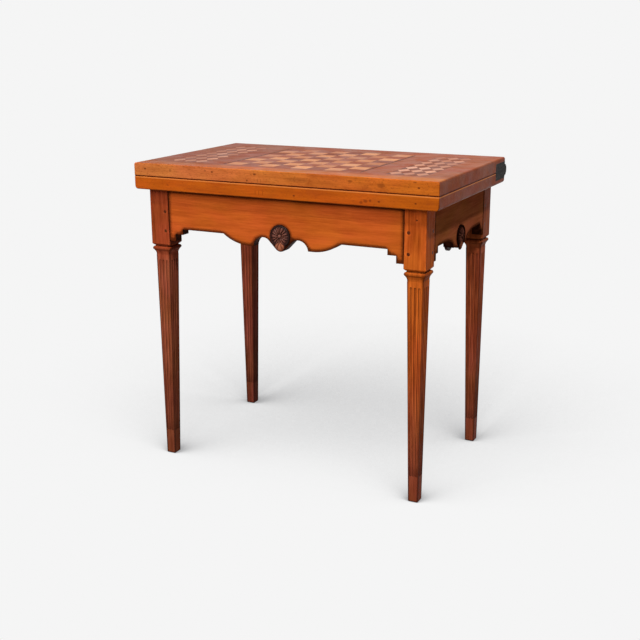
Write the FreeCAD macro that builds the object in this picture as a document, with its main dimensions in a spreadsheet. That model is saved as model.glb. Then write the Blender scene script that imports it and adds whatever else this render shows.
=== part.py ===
import FreeCAD, Part
import math
import os
import Sketcher

# A games table with a folding top. The top leaf is inlaid with a chessboard and opens on two
# iron hinges. The back left leg swings out on a wooden knuckle hinge to carry the open leaf.
# X runs to the right, Y to the back and Z up, in millimetres. The origin is on the floor under
# the middle of the closed table, hinges included.

Vec = FreeCAD.Vector
doc = FreeCAD.newDocument("games_table")

# The driving sizes, written once each.
SIZES = (
    # top
    ("table_wide", 786),
    ("table_deep", 477),
    ("table_high", 760),
    ("leaf_thick", 31.8),
    ("leaf_gap", 0.3),
    ("leaf_arris", 1.2),
    ("upper_leaf_worn", 5),
    ("lower_leaf_worn", 8),
    ("overrun", 5),
    # inlay in the upper leaf
    ("inlay_deep", 2),
    ("board_side", 344.8),
    ("string_gap", 4.6),
    ("string_wide", 4),
    ("lozenge_panel_margin", 57),
    ("lozenge_panel_wide", 96),
    # baize on the two playing faces
    ("baize_margin", 45),
    ("baize_bed_deep", 1.5),
    ("baize_thick", 1.2),
    # iron hinges let into the ends of the leaves
    ("pivot_behind", 0.4),
    ("disc_radius", 14.5),
    ("disc_room", 0.5),
    ("plate_thick", 5),
    ("plate_long", 75),
    ("upper_plate_tall", 21.5),
    ("lower_plate_tall", 19),
    ("disc_gap", 0.1),
    ("rivet_radius", 3),
    ("rivet_clear", 0.05),
    # where the frame stands under the lower leaf
    ("inset_front", 15),
    ("inset_side", 32.5),
    ("inset_back", 3.1),
    # legs
    ("block_side", 52.2),
    ("block_drop", 139.6),
    ("block_chamfer", 4),
    ("quirk_side", 41),
    ("quirk_tall", 3),
    ("astragal_side", 51),
    ("astragal_tall", 9.5),
    ("astragal_radius", 5.4),
    ("astragal_proud", 3),
    ("cove_side", 46),
    ("cove_tall", 14),
    ("shaft_side", 39),
    ("foot_side", 24.2),
    ("foot_chamfer", 2),
    ("foot_out", 4.6),
    ("flute_radius", 3.7),
    ("flute_deep", 1),
    ("flute_below_cove", 12),
    ("flute_foot_up", 66),
    # aprons and their tenons
    ("apron_thick", 25),
    ("apron_setback", 0.6),
    ("apron_drop", 94.5),
    ("tenon_in", 8.6),
    ("tenon_thick", 9),
    ("tenon_long", 26),
    ("tenon_room", 1),
    ("tenon_top", 12),
    ("apron_tenon_tall", 100),
    ("rail_tenon_tall", 70),
    ("peg_radius", 4),
    ("peg_clear", 0.05),
    ("peg_long", 22),
    ("peg_from_corner", 41.5),
    ("apron_peg_upper", 54),
    ("apron_peg_lower", 102),
    ("rail_peg_upper", 30),
    ("rail_peg_lower", 66),
    ("plug_radius", 2.2),
    ("plug_long", 20),
    ("plug_from_corner", 23),
    ("plug_drop", 25),
    # lower edge of the front apron, from its middle outwards and down from its top
    ("ear_drop", 125),
    ("front_ear_wide", 18),
    ("front_step_wide", 21),
    ("front_step_drop", 108),
    ("front_rise_end", 154),
    ("front_hump_out", 85),
    ("front_hump_in", 72),
    ("front_hump_drop", 118),
    ("front_rise_radius", 113),
    ("front_scallop_at", 45),
    ("front_scallop_radius", 25.5),
    ("front_throat_radius", 20),
    ("front_throat_at", 30.6),
    ("front_throat_drop", 100.6),
    ("front_tongue_at", 11.9),
    ("front_tongue_drop", 120),
    ("front_tongue_radius", 16.5),
    # lower edge of the side aprons
    ("side_ear_wide", 13),
    ("side_step_wide", 13),
    ("side_step_drop", 109.5),
    ("side_arch_end", 109.5),
    ("side_arch_radius", 143),
    ("side_turn_at", 58),
    ("side_turn_drop", 104.1),
    ("side_turn_radius", 17.5),
    ("side_cusp_at", 45),
    ("side_cusp_drop", 118.7),
    ("side_tongue_at", 33),
    ("side_tongue_radius", 81.3),
    # carved rosettes, with a small fan below each
    ("front_rosette_drop", 88),
    ("front_fan_drop", 111),
    ("side_rosette_drop", 97),
    ("side_fan_drop", 117),
    ("rosette_radius", 26.3),
    ("rosette_base", 2.5),
    ("rosette_rim_high", 5),
    ("rosette_rim_wide", 3),
    ("petal_high", 5.6),
    ("petal_tip", 23),
    ("petal_valley", 17),
    ("petal_top", 6.5),
    ("boss_radius", 4.2),
    ("boss_high", 6.4),
    ("fan_high", 4.6),
    ("fan_tip", 14),
    ("fan_valley", 11),
    ("fan_top", 5),
    ("backing_half_wide", 21.5),
    ("backing_drop", 114.5),
    ("backing_rise", 26),
    ("backing_thick", 7),
    # back rails, the knuckle hinge and the swing leg
    ("fly_rail_thick", 22),
    ("inner_rail_thick", 20),
    ("fly_rail_gap", 2.4),
    ("knuckle_x", 15),
    ("knuckle_shoulder", 0.5),
    ("finger_gap", 0.3),
    ("knuckle_pin_radius", 3),
    ("knuckle_pin_clear", 0.05),
    ("knuckle_pin_end", 1.5),
    ("swing_clear", 0.4),
    ("swing_top_clear", 0.3),
    ("lap_thick", 12),
    ("dovetail_deep_end", 18),
    ("dovetail_root", 12),
    # glue blocks inside the frame
    ("corner_block_side", 22),
    ("corner_block_top", 15),
    ("corner_block_tall", 75),
    ("top_block_side", 20),
    ("top_block_long", 70),
    ("front_block_spacing", 180),
    ("side_block_spacing", 130),
)

BOARD_SQUARES = 8
LOZENGE_COLUMNS = 3
LOZENGE_ROWS = 7
KNUCKLE_FINGERS = 5
DOVETAILS = 3
PETALS = 16
FAN_LOBES = 7
RIM_CUTS = 12
BOSS_CUTS = 5
BACKING_CUTS = 6
RIM_TOP_SHARE = 0.97
BOSS_TOP_SHARE = 0.7
LEG_FACES = 4
FLUTES_EACH_FACE = 3
FLUTE_SPREAD_SHARE = 0.52
PEG_SIDES = 8
COVE_RADIUS_SHARE = 1.3
FULL_TURN = 360
HALF_TURN = 180
QUARTER_TURN = 90

sheet = doc.addObject("Spreadsheet::Sheet", "Sizes")
for row, (alias, value) in enumerate(SIZES, start=1):
    sheet.set("A%d" % row, alias)
    sheet.set("B%d" % row, str(value))
    sheet.setAlias("B%d" % row, alias)
doc.recompute()


class Dim:
    """A length: the sheet expression that sets it, and its value."""

    def __init__(self, text, value):
        self.text = text
        self.value = value

    def __add__(self, other):
        return Dim("(%s + %s)" % (self.text, other.text), self.value + other.value)

    def __sub__(self, other):
        return Dim("(%s - %s)" % (self.text, other.text), self.value - other.value)

    def __neg__(self):
        return Dim("(-1 * %s)" % self.text, -self.value)

    def __mul__(self, count):
        return Dim("(%s * %s)" % (self.text, count), self.value * count)

    def __truediv__(self, count):
        return Dim("(%s / %s)" % (self.text, count), self.value / count)


def size(alias):
    """The named size of the sheet."""
    return Dim("Sizes." + alias, float(sheet.get(alias)))


ZERO = Dim("0", 0.0)
OVERRUN = size("overrun")


def mirrored(span, side):
    """A span of X or Y, on the other side of the middle where side is -1."""
    if side > 0:
        return span
    return (-span[1], -span[0])


def add_object(kind, name, owner=None):
    """A new object, in a body where one is given."""
    made = owner.newObject(kind, name) if owner else doc.addObject(kind, name)
    made.Label = name
    return made


def set_base(made, x, y, z):
    """Ties an object's place to the sheet."""
    made.setExpression("Placement.Base.x", x.text)
    made.setExpression("Placement.Base.y", y.text)
    made.setExpression("Placement.Base.z", z.text)


def box(name, x, y, z, kind="Part::Box", owner=None):
    """A block between two values on each axis."""
    made = add_object(kind, name, owner)
    made.setExpression("Length", (x[1] - x[0]).text)
    made.setExpression("Width", (y[1] - y[0]).text)
    made.setExpression("Height", (z[1] - z[0]).text)
    set_base(made, x[0], y[0], z[0])
    return made


AXIS_TURNS = {
    "x": FreeCAD.Rotation(Vec(0, 0, 1), Vec(1, 0, 0)),
    "-x": FreeCAD.Rotation(Vec(0, 0, 1), Vec(-1, 0, 0)),
    "y": FreeCAD.Rotation(Vec(0, 0, 1), Vec(0, 1, 0)),
    "-y": FreeCAD.Rotation(Vec(0, 0, 1), Vec(0, -1, 0)),
    "z": FreeCAD.Rotation(),
}


def rod(name, radius, length, start, way="z", kind="Part::Cylinder", owner=None):
    """A round rod from its start, along one axis."""
    made = add_object(kind, name, owner)
    made.Placement = FreeCAD.Placement(Vec(), AXIS_TURNS[way])
    made.setExpression("Radius", radius.text)
    made.setExpression("Height", length.text)
    set_base(made, *start)
    return made


def whittled(name, radius, length, start, way="z", kind="Part::Prism", owner=None):
    """A rod whittled to flat sides, as wooden pegs are."""
    made = add_object(kind, name, owner)
    made.Placement = FreeCAD.Placement(Vec(), AXIS_TURNS[way])
    made.Polygon = PEG_SIDES
    made.setExpression("Circumradius", radius.text)
    made.setExpression("Height", length.text)
    set_base(made, *start)
    return made


def add_box(body, name, x, y, z):
    return box(name, x, y, z, "PartDesign::AdditiveBox", body)


def cut_box(body, name, x, y, z):
    return box(name, x, y, z, "PartDesign::SubtractiveBox", body)


def add_rod(body, name, radius, length, start, way="z"):
    return rod(name, radius, length, start, way, "PartDesign::AdditiveCylinder", body)


def cut_rod(body, name, radius, length, start, way="z"):
    return rod(name, radius, length, start, way, "PartDesign::SubtractiveCylinder", body)


def cut_peg_hole(body, name, start, way):
    """A hole for a peg, from the block's outer face inwards."""
    return whittled(name, size("peg_radius") + size("peg_clear"), size("peg_long"), start, way,
                    "PartDesign::SubtractivePrism", body)


def new_body(name):
    body = doc.addObject("PartDesign::Body", name)
    body.Label = name
    return body


def compound(name, pieces):
    """Several separate solids under one name."""
    made = add_object("Part::Compound", name)
    made.Links = pieces
    return made


def subtract(name, base, tools):
    """A piece less its cuts, which may cross each other."""
    if len(tools) > 1:
        tool = add_object("Part::MultiFuse", name + "_cuts")
        tool.Shapes = tools
    else:
        tool = tools[0]
    made = add_object("Part::Cut", name)
    made.Base = base
    made.Tool = tool
    return made


def arc_between(start, end, radius, bulge):
    """An arc of a circle, and its point numbers at start and end. A bulge of 1 lies to the right."""
    chord = end.sub(start)
    middle = start.add(end).multiply(0.5)
    left = Vec(-chord.y, chord.x, 0).normalize()
    rise = math.sqrt(radius * radius - chord.Length * chord.Length / 4)
    centre = middle.add(left.multiply(bulge * rise))
    first = math.atan2(start.y - centre.y, start.x - centre.x)
    last = math.atan2(end.y - centre.y, end.x - centre.x)
    circle = Part.Circle(centre, Vec(0, 0, 1), radius)
    if bulge > 0:
        return Part.ArcOfCircle(circle, first, last), 1, 2
    return Part.ArcOfCircle(circle, last, first), 2, 1


def draw_outline(sketch, stretches):
    """A closed outline. Each stretch starts at a point and is a line, or an arc with a bulge."""
    placed = []
    for number, stretch in enumerate(stretches):
        across, up = stretch[0], stretch[1]
        following = stretches[(number + 1) % len(stretches)]
        start = Vec(across.value, up.value, 0)
        end = Vec(following[0].value, following[1].value, 0)
        if len(stretch) == 2:
            geometry, head, tail = Part.LineSegment(start, end), 1, 2
        else:
            geometry, head, tail = arc_between(start, end, stretch[2].value, stretch[3])
        index = sketch.addGeometry(geometry, False)
        placed.append((index, head, tail))
    for number, (index, head, tail) in enumerate(placed):
        following = placed[(number + 1) % len(placed)]
        sketch.addConstraint(Sketcher.Constraint("Coincident", index, tail, following[0], following[1]))
    for stretch, (index, head, tail) in zip(stretches, placed):
        for kind, value in (("DistanceX", stretch[0]), ("DistanceY", stretch[1])):
            pin = sketch.addConstraint(Sketcher.Constraint(kind, -1, 1, index, head, value.value))
            sketch.setExpression("Constraints[%d]" % pin, value.text)
        if len(stretch) > 2:
            bend = sketch.addConstraint(Sketcher.Constraint("Radius", index, stretch[2].value))
            sketch.setExpression("Constraints[%d]" % bend, stretch[2].text)


def body_sketch(body, name, role, lift, outlines):
    """A sketch on one of the body's own planes, lifted along its normal."""
    sketch = add_object("Sketcher::SketchObject", name, body)
    planes = [feature for feature in body.Origin.OriginFeatures if feature.Role == role]
    sketch.AttachmentSupport = (planes[0], [""])
    sketch.MapMode = "FlatFace"
    sketch.setExpression("AttachmentOffset.Base.z", lift.text)
    for outline in outlines:
        draw_outline(sketch, outline)
    return sketch


def pad(body, name, sketch, length):
    made = add_object("PartDesign::Pad", name, body)
    made.Profile = sketch
    made.setExpression("Length", length.text)
    return made


def pocket(body, name, sketch, length, backwards):
    made = add_object("PartDesign::Pocket", name, body)
    made.Profile = sketch
    made.Reversed = backwards
    made.setExpression("Length", length.text)
    return made


def rectangle(across, up):
    """The outline of a rectangle between two values each way."""
    return [(across[0], up[0]), (across[1], up[0]), (across[1], up[1]), (across[0], up[1])]


# Main faces and levels of the table.
half_wide = size("table_wide") / 2
table_high = size("table_high")
leaf_thick = size("leaf_thick")
hinge_reach = size("pivot_behind") + size("disc_radius")
front_y = -(size("table_deep") + hinge_reach) / 2
back_y = front_y + size("table_deep")
upper_z = table_high - leaf_thick
joint_z = upper_z - size("leaf_gap") / 2
lower_top_z = upper_z - size("leaf_gap")
under_z = lower_top_z - leaf_thick
pivot_y = back_y + size("pivot_behind")

frame_x = half_wide - size("inset_side")
frame_front = front_y + size("inset_front")
frame_back = back_y - size("inset_back")
frame_middle = (frame_front + frame_back) / 2
block_side = size("block_side")
half_block = block_side / 2
block_in_x = frame_x - block_side
block_in_front = frame_front + block_side
block_in_back = frame_back - block_side
setback = size("apron_setback")
apron_thick = size("apron_thick")
apron_inner_x = frame_x - setback - apron_thick
front_apron_inner = frame_front + setback + apron_thick

fly_outer = frame_back
fly_inner = frame_back - size("fly_rail_thick")
rail_back = fly_inner - size("fly_rail_gap")
rail_front = rail_back - size("inner_rail_thick")
knuckle_x = size("knuckle_x")
knuckle_y = (fly_inner + fly_outer) / 2
knuckle_radius = size("fly_rail_thick") / 2

half_board = size("board_side") / 2
square = size("board_side") / BOARD_SQUARES
string_x = (half_board + size("string_gap"), half_board + size("string_gap") + size("string_wide"))
board_middle = (front_y + back_y) / 2
board_y = (board_middle - half_board, board_middle + half_board)
lozenge_x = (
    half_wide - size("lozenge_panel_margin") - size("lozenge_panel_wide"),
    half_wide - size("lozenge_panel_margin"),
)
inlay_z = (table_high - size("inlay_deep"), table_high)

baize_x = (size("baize_margin") - half_wide, half_wide - size("baize_margin"))
baize_y = (front_y + size("baize_margin"), back_y - size("baize_margin"))

plate_x = (half_wide - size("plate_thick"), half_wide)
disc_middle_x = half_wide - size("plate_thick") / 2
disc_clearance = size("disc_radius") + size("disc_room")
plate_y = (pivot_y - size("plate_long"), back_y)
upper_plate_z = (upper_z, upper_z + size("upper_plate_tall"))
lower_plate_z = (lower_top_z - size("lower_plate_tall"), lower_top_z)


def down(alias):
    """The level that lies a named size below the lower leaf."""
    return under_z - size(alias)


# Leaves.

def let_in_hinge(body, side, plate_z):
    """The bed of one hinge plate in a leaf's end, open at the back."""
    tag = "right" if side > 0 else "left"
    bed_x = mirrored((plate_x[0], plate_x[1] + OVERRUN), side)
    cut_box(body, "plate_bed_" + tag, bed_x, (plate_y[0], plate_y[1] + OVERRUN), plate_z)


def leaf_outline(joint, outside, worn, up):
    """A leaf seen from the front. Its ends are worn round on the outside: up is 1 if that is its top."""
    shoulder = outside - worn * up
    return [
        (-half_wide, joint),
        (half_wide, joint),
        (half_wide, shoulder, worn, up),
        (half_wide - worn, outside),
        (worn - half_wide, outside, worn, up),
        (-half_wide, shoulder),
    ]


def sharp_edges(board, joint, worn):
    """Names of the edges round the front and the back, and of the two ends' edges at the joint."""
    names = []
    for number, edge in enumerate(board.Shape.Edges, start=1):
        first, last = [vertex.Point for vertex in edge.Vertexes]
        across = abs(first.y - last.y) < worn.value
        at_joint = abs(first.z - joint.value) < worn.value
        if across or at_joint:
            names.append("Edge%d" % number)
    return names


def leaf(name, joint, outside, worn, up):
    """A plain leaf with its sharp edges taken off."""
    body = new_body(name)
    outline = leaf_outline(joint, outside, worn, up)
    sketch = body_sketch(body, name + "_front_view", "XZ_Plane", -back_y, [outline])
    board = pad(body, name + "_board", sketch, size("table_deep"))
    doc.recompute()
    arris = add_object("PartDesign::Chamfer", name + "_arris", body)
    arris.Base = (board, sharp_edges(board, joint, worn))
    arris.setExpression("Size", "Sizes.leaf_arris")
    return body


def make_upper_leaf():
    body = leaf("upper_leaf_panel", upper_z, table_high, size("upper_leaf_worn"), 1)
    above = (inlay_z[0], inlay_z[1] + OVERRUN)
    cut_box(body, "board_bed", (-half_board, half_board), board_y, above)
    for side in (1, -1):
        cut_box(body, "string_bed_%d" % (side + 1), mirrored(string_x, side), board_y, above)
        cut_box(body, "lozenge_bed_%d" % (side + 1), mirrored(lozenge_x, side), board_y, above)
        let_in_hinge(body, side, upper_plate_z)
    bed = (upper_z - OVERRUN, upper_z + size("baize_bed_deep"))
    cut_box(body, "upper_baize_bed", baize_x, baize_y, bed)
    return body


def make_lower_leaf():
    body = leaf("lower_leaf_panel", lower_top_z, under_z, size("lower_leaf_worn"), -1)
    for side in (1, -1):
        let_in_hinge(body, side, lower_plate_z)
    bed = (lower_top_z - size("baize_bed_deep"), lower_top_z + OVERRUN)
    cut_box(body, "lower_baize_bed", baize_x, baize_y, bed)
    return body


# Inlay.

def make_board():
    """The squares of the board, in two kinds. The near left one is light."""
    kinds = {"light": [], "dark": []}
    for column in range(BOARD_SQUARES):
        for row in range(BOARD_SQUARES):
            kind = "light" if (column + row) % 2 == 0 else "dark"
            x = -half_board + square * column
            y = board_y[0] + square * row
            name = "square_%d_%d" % (column, row)
            kinds[kind].append(box(name, (x, x + square), (y, y + square), inlay_z))
    return [compound("chess_squares_" + kind, pieces) for kind, pieces in kinds.items()]


def make_strings():
    strings = []
    for side in (1, -1):
        strings.append(box("string_%d" % (side + 1), mirrored(string_x, side), board_y, inlay_z))
    return compound("board_stringing", strings)


def clipped_lozenge(middle, half_x, half_y, low, high):
    """A lozenge about its middle, cut off at the panel's edges, as a flat list of corners."""
    tips = [Vec(middle.x + half_x, middle.y), Vec(middle.x, middle.y + half_y),
            Vec(middle.x - half_x, middle.y), Vec(middle.x, middle.y - half_y)]
    lozenge = Part.Face(Part.makePolygon(tips + tips[:1]))
    window = Part.makePlane(high.x - low.x, high.y - low.y, low)
    return lozenge.common(window).Faces[0].OuterWire.OrderedVertexes


def make_lozenges(side):
    """Light lozenges tip to tip, with dark lozenges and parts of them between."""
    tag = "right" if side > 0 else "left"
    span = mirrored(lozenge_x, side)
    low = Vec(span[0].value, board_y[0].value)
    high = Vec(span[1].value, board_y[1].value)
    half_x = (high.x - low.x) / LOZENGE_COLUMNS / 2
    half_y = (high.y - low.y) / LOZENGE_ROWS / 2
    level = inlay_z[0].value
    deep = Vec(0, 0, size("inlay_deep").value)
    prisms = {"light": [], "dark": []}
    for column in range(LOZENGE_COLUMNS * 2 + 1):
        for row in range(LOZENGE_ROWS * 2 + 1):
            if (column + row) % 2:
                continue
            kind = "light" if column % 2 else "dark"
            middle = Vec(low.x + half_x * column, low.y + half_y * row)
            corners = clipped_lozenge(middle, half_x, half_y, low, high)
            points = [Vec(corner.X, corner.Y, level) for corner in corners]
            face = Part.Face(Part.makePolygon(points + points[:1]))
            prisms[kind].append(face.extrude(deep))
    made = []
    for kind, pieces in prisms.items():
        veneer = add_object("Part::Feature", "lozenges_%s_%s" % (kind, tag))
        veneer.Shape = Part.Compound(pieces)
        made.append(veneer)
    return made


def make_baize():
    bed = size("baize_bed_deep")
    thick = size("baize_thick")
    upper = box("upper_baize", baize_x, baize_y, (upper_z + bed - thick, upper_z + bed))
    lower = box("lower_baize", baize_x, baize_y, (lower_top_z - bed, lower_top_z - bed + thick))
    return [upper, lower]


# Hinges.

def hinge_arm(level, side, plate_z):
    """One arm: a plate with a round end of half its thickness about the pivot."""
    tag = "right" if side > 0 else "left"
    name = "hinge_arm_%s_%s" % (level, tag)
    body = new_body(name)
    gap = size("disc_gap")
    outer_half = (disc_middle_x + gap / 2, plate_x[1])
    inner_half = (plate_x[0] + gap, disc_middle_x - gap / 2)
    own = inner_half if level == "upper" else outer_half
    cleared = (disc_middle_x - gap / 2, plate_x[1] + OVERRUN)
    if level == "lower":
        cleared = (plate_x[0] - OVERRUN, disc_middle_x + gap / 2)
    cleared = mirrored(cleared, side)
    own = mirrored(own, side)
    span = mirrored(plate_x, side)
    add_box(body, name + "_plate", span, plate_y, plate_z)
    cut_rod(body, name + "_way", disc_clearance, cleared[1] - cleared[0],
            (cleared[0], pivot_y, joint_z), "x")
    if level == "upper":
        behind = mirrored((plate_x[0] - OVERRUN, plate_x[0] + gap), side)
        cut_rod(body, name + "_easing", disc_clearance, behind[1] - behind[0],
                (behind[0], pivot_y, joint_z), "x")
    add_rod(body, name + "_disc", size("disc_radius"), own[1] - own[0], (own[0], pivot_y, joint_z), "x")
    hole_start = mirrored((plate_x[0] - OVERRUN, plate_x[1] + OVERRUN), side)
    cut_rod(body, name + "_eye", size("rivet_radius") + size("rivet_clear"),
            hole_start[1] - hole_start[0], (hole_start[0], pivot_y, joint_z), "x")
    return body


def make_hinge_rivets():
    rivets = []
    for side in (1, -1):
        span = mirrored((plate_x[0] + size("disc_gap"), plate_x[1]), side)
        rivets.append(rod("hinge_rivet_%d" % (side + 1), size("rivet_radius"), span[1] - span[0],
                          (span[0], pivot_y, joint_z), "x"))
    return compound("hinge_rivets", rivets)


def make_hinges():
    made = [make_hinge_rivets()]
    for side in (1, -1):
        made.append(hinge_arm("upper", side, upper_plate_z))
        made.append(hinge_arm("lower", side, lower_plate_z))
    return made


# Aprons.

def both_halves(half):
    """A whole outline from its right half, which runs from the end to the middle."""
    mirrored_half = []
    for number in range(len(half) - 1, -1, -1):
        across, drop = half[number][0], half[number][1]
        arc = half[number - 1][2:] if number else ()
        mirrored_half.append((-across, drop) + tuple(arc))
    return half + mirrored_half


def front_half_outline():
    """Right half of the front apron's edge, from the block to the middle."""
    block = block_in_x
    ear = block - size("front_ear_wide")
    step = ear - size("front_step_wide")
    return [
        (block, under_z),
        (block, down("ear_drop")),
        (ear, down("ear_drop")),
        (ear, down("front_step_drop")),
        (step, down("front_step_drop")),
        (step, down("apron_drop")),
        (size("front_rise_end"), down("apron_drop"), size("front_rise_radius"), -1),
        (size("front_hump_out"), down("front_hump_drop")),
        (size("front_hump_in"), down("front_hump_drop"), size("front_scallop_radius"), 1),
        (size("front_scallop_at"), down("apron_drop"), size("front_throat_radius"), 1),
        (size("front_throat_at"), down("front_throat_drop")),
        (size("front_tongue_at"), down("front_tongue_drop"), size("front_tongue_radius"), -1),
    ]


def side_half_outline():
    """Back half of a side apron's edge, from the block to the middle."""
    block = (block_in_back - block_in_front) / 2
    ear = block - size("side_ear_wide")
    step = ear - size("side_step_wide")
    return [
        (block, under_z),
        (block, down("ear_drop")),
        (ear, down("ear_drop")),
        (ear, down("side_step_drop")),
        (step, down("side_step_drop")),
        (step, down("apron_drop")),
        (size("side_arch_end"), down("apron_drop"), size("side_arch_radius"), 1),
        (size("side_turn_at"), down("side_turn_drop"), size("side_turn_radius"), 1),
        (size("side_cusp_at"), down("side_cusp_drop")),
        (size("side_tongue_at"), down("side_cusp_drop"), size("side_tongue_radius"), -1),
    ]


def tenon_z(tall):
    top = down("tenon_top")
    return (top - size(tall), top)


def peg_levels(kind):
    """Levels of the two pegs through an apron's tenon or a rail's."""
    if kind == "apron":
        return [down("apron_peg_upper"), down("apron_peg_lower")]
    return [down("rail_peg_upper"), down("rail_peg_lower")]


def make_front_apron():
    body = new_body("front_apron")
    outline = both_halves(front_half_outline())
    sketch = body_sketch(body, "front_apron_face", "XZ_Plane", -front_apron_inner, [outline])
    pad(body, "front_apron_board", sketch, apron_thick)
    tenon_front = frame_front + size("tenon_in")
    peg_x = frame_x - size("peg_from_corner")
    for side in (1, -1):
        span = mirrored((block_in_x, block_in_x + size("tenon_long")), side)
        add_box(body, "front_tenon_%d" % (side + 1), span,
                (tenon_front, tenon_front + size("tenon_thick")), tenon_z("apron_tenon_tall"))
        for z in peg_levels("apron"):
            cut_peg_hole(body, "front_peg_hole_%d" % (side + 1), (peg_x * side, frame_front, z), "y")
    return body


def make_side_apron(side):
    """The left apron has a lap behind its back end that the inner rail is dovetailed into."""
    name = "right_apron" if side > 0 else "left_apron"
    body = new_body(name)
    half = side_half_outline()
    outline = [(frame_middle + stretch[0], *stretch[1:]) for stretch in both_halves(half)]
    board_x = mirrored((apron_inner_x, frame_x - setback), side)
    if side < 0:
        end = block_in_back - size("swing_clear")
        outline[0] = (end, under_z)
        outline[1] = (end, down("ear_drop"))
    sketch = body_sketch(body, name + "_face", "YZ_Plane", board_x[0], [outline])
    pad(body, name + "_board", sketch, apron_thick)
    tenon_x = mirrored((frame_x - size("tenon_in") - size("tenon_thick"), frame_x - size("tenon_in")), side)
    ends = [(block_in_front - size("tenon_long"), block_in_front)]
    pegs = [frame_front + size("peg_from_corner")]
    if side > 0:
        ends.append((block_in_back, block_in_back + size("tenon_long")))
        pegs.append(frame_back - size("peg_from_corner"))
    for number, span in enumerate(ends):
        add_box(body, "%s_tenon_%d" % (name, number), tenon_x, span, tenon_z("apron_tenon_tall"))
    way = "-x" if side > 0 else "x"
    for y in pegs:
        for z in peg_levels("apron"):
            cut_peg_hole(body, name + "_peg_hole", (frame_x * side, y, z), way)
    if side < 0:
        lap_x = (-apron_inner_x - size("lap_thick"), -apron_inner_x)
        add_box(body, "left_apron_lap", lap_x, (block_in_back - size("swing_clear"), rail_back),
                (down("apron_drop"), under_z))
        tails = body_sketch(body, "left_apron_sockets", "XZ_Plane", -rail_back, dovetail_outlines())
        pocket(body, "left_apron_socket_cut", tails, size("inner_rail_thick"), True)
    return body


def dovetail_outlines():
    """The tails of the inner rail's left end, each wider at its end than at its root."""
    end_x = -apron_inner_x - size("lap_thick")
    root_x = -apron_inner_x
    outlines = []
    for number in range(DOVETAILS):
        middle = under_z - size("apron_drop") / (DOVETAILS * 2) * (number * 2 + 1)
        end = size("dovetail_deep_end") / 2
        root = size("dovetail_root") / 2
        outlines.append([(root_x, middle - root), (root_x, middle + root),
                         (end_x, middle + end), (end_x, middle - end)])
    return outlines


# Back rails and the knuckle hinge.

def make_inner_rail():
    body = new_body("inner_back_rail")
    rail_z = (down("apron_drop"), under_z)
    add_box(body, "inner_rail_board", (-apron_inner_x, block_in_x), (rail_front, rail_back), rail_z)
    tails = body_sketch(body, "inner_rail_tails", "XZ_Plane", -rail_back, dovetail_outlines())
    pad(body, "inner_rail_dovetails", tails, size("inner_rail_thick"))
    middle = (rail_front + rail_back) / 2
    half = size("tenon_thick") / 2
    add_box(body, "inner_rail_tenon", (block_in_x, block_in_x + size("tenon_long")),
            (middle - half, middle + half), tenon_z("rail_tenon_tall"))
    return body


finger_tall = (size("apron_drop") - size("finger_gap") * (KNUCKLE_FINGERS - 1)) / KNUCKLE_FINGERS


def finger_top(number):
    """Level of the top of one knuckle finger, counted from the top."""
    return under_z - (finger_tall + size("finger_gap")) * number


def knuckle_gaps(first):
    """Levels between the fingers of one rail, which the other rail's fingers run in."""
    gaps = []
    for number in range(first, KNUCKLE_FINGERS, 2):
        top = finger_top(number) + size("finger_gap")
        bottom = finger_top(number) - finger_tall - size("finger_gap")
        gaps.append((bottom, top))
    return gaps


def cut_knuckle(body, name, first, y):
    """Takes away every other finger, back to a flat shoulder on each side of the pin."""
    reach = knuckle_radius + size("knuckle_shoulder")
    for number, gap in enumerate(knuckle_gaps(first)):
        cut_box(body, "%s_gap_%d" % (name, number), (knuckle_x - reach, knuckle_x + reach), y, gap)
    cut_rod(body, name + "_eye", size("knuckle_pin_radius") + size("knuckle_pin_clear"),
            size("apron_drop") + OVERRUN * 2, (knuckle_x, knuckle_y, down("apron_drop") - OVERRUN))


def make_fixed_rail():
    """The half of the fly rail that is glued to the inner rail and the right leg."""
    body = new_body("fly_rail_fixed")
    rail_z = (down("apron_drop"), under_z)
    add_box(body, "fixed_rail_board", (knuckle_x, block_in_x), (rail_back, fly_outer), rail_z)
    add_rod(body, "fixed_rail_round", knuckle_radius, size("apron_drop"),
            (knuckle_x, knuckle_y, rail_z[0]))
    cut_knuckle(body, "fixed_rail", 1, (rail_back - OVERRUN, fly_outer + OVERRUN))
    return body


def make_fly_rail():
    """The half of the fly rail that swings with the leg."""
    body = new_body("fly_rail")
    rail_z = (down("apron_drop"), under_z - size("swing_top_clear"))
    add_box(body, "fly_rail_board", (-block_in_x, knuckle_x), (fly_inner, fly_outer), rail_z)
    add_rod(body, "fly_rail_round", knuckle_radius, rail_z[1] - rail_z[0],
            (knuckle_x, knuckle_y, rail_z[0]))
    outer = fly_outer - size("tenon_in")
    add_box(body, "fly_rail_tenon", (-block_in_x - size("tenon_long"), -block_in_x),
            (outer - size("tenon_thick"), outer), tenon_z("rail_tenon_tall"))
    cut_knuckle(body, "fly_rail", 0, (rail_back, fly_outer + OVERRUN))
    for z in peg_levels("rail"):
        cut_peg_hole(body, "fly_rail_peg_hole", (size("peg_from_corner") - frame_x, frame_back, z), "-y")
    return body


def make_knuckle_pin():
    end = size("knuckle_pin_end")
    return rod("knuckle_pin", size("knuckle_pin_radius"), size("apron_drop") - end * 2,
               (knuckle_x, knuckle_y, down("apron_drop") + end))


# Legs. Each is drawn about its own middle line, outer faces at low x and low y, and turned.

block_z = under_z - size("block_drop")
quirk_z = block_z - size("quirk_tall")
astragal_z = quirk_z - size("astragal_tall")
shaft_z = astragal_z - size("cove_tall")


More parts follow.
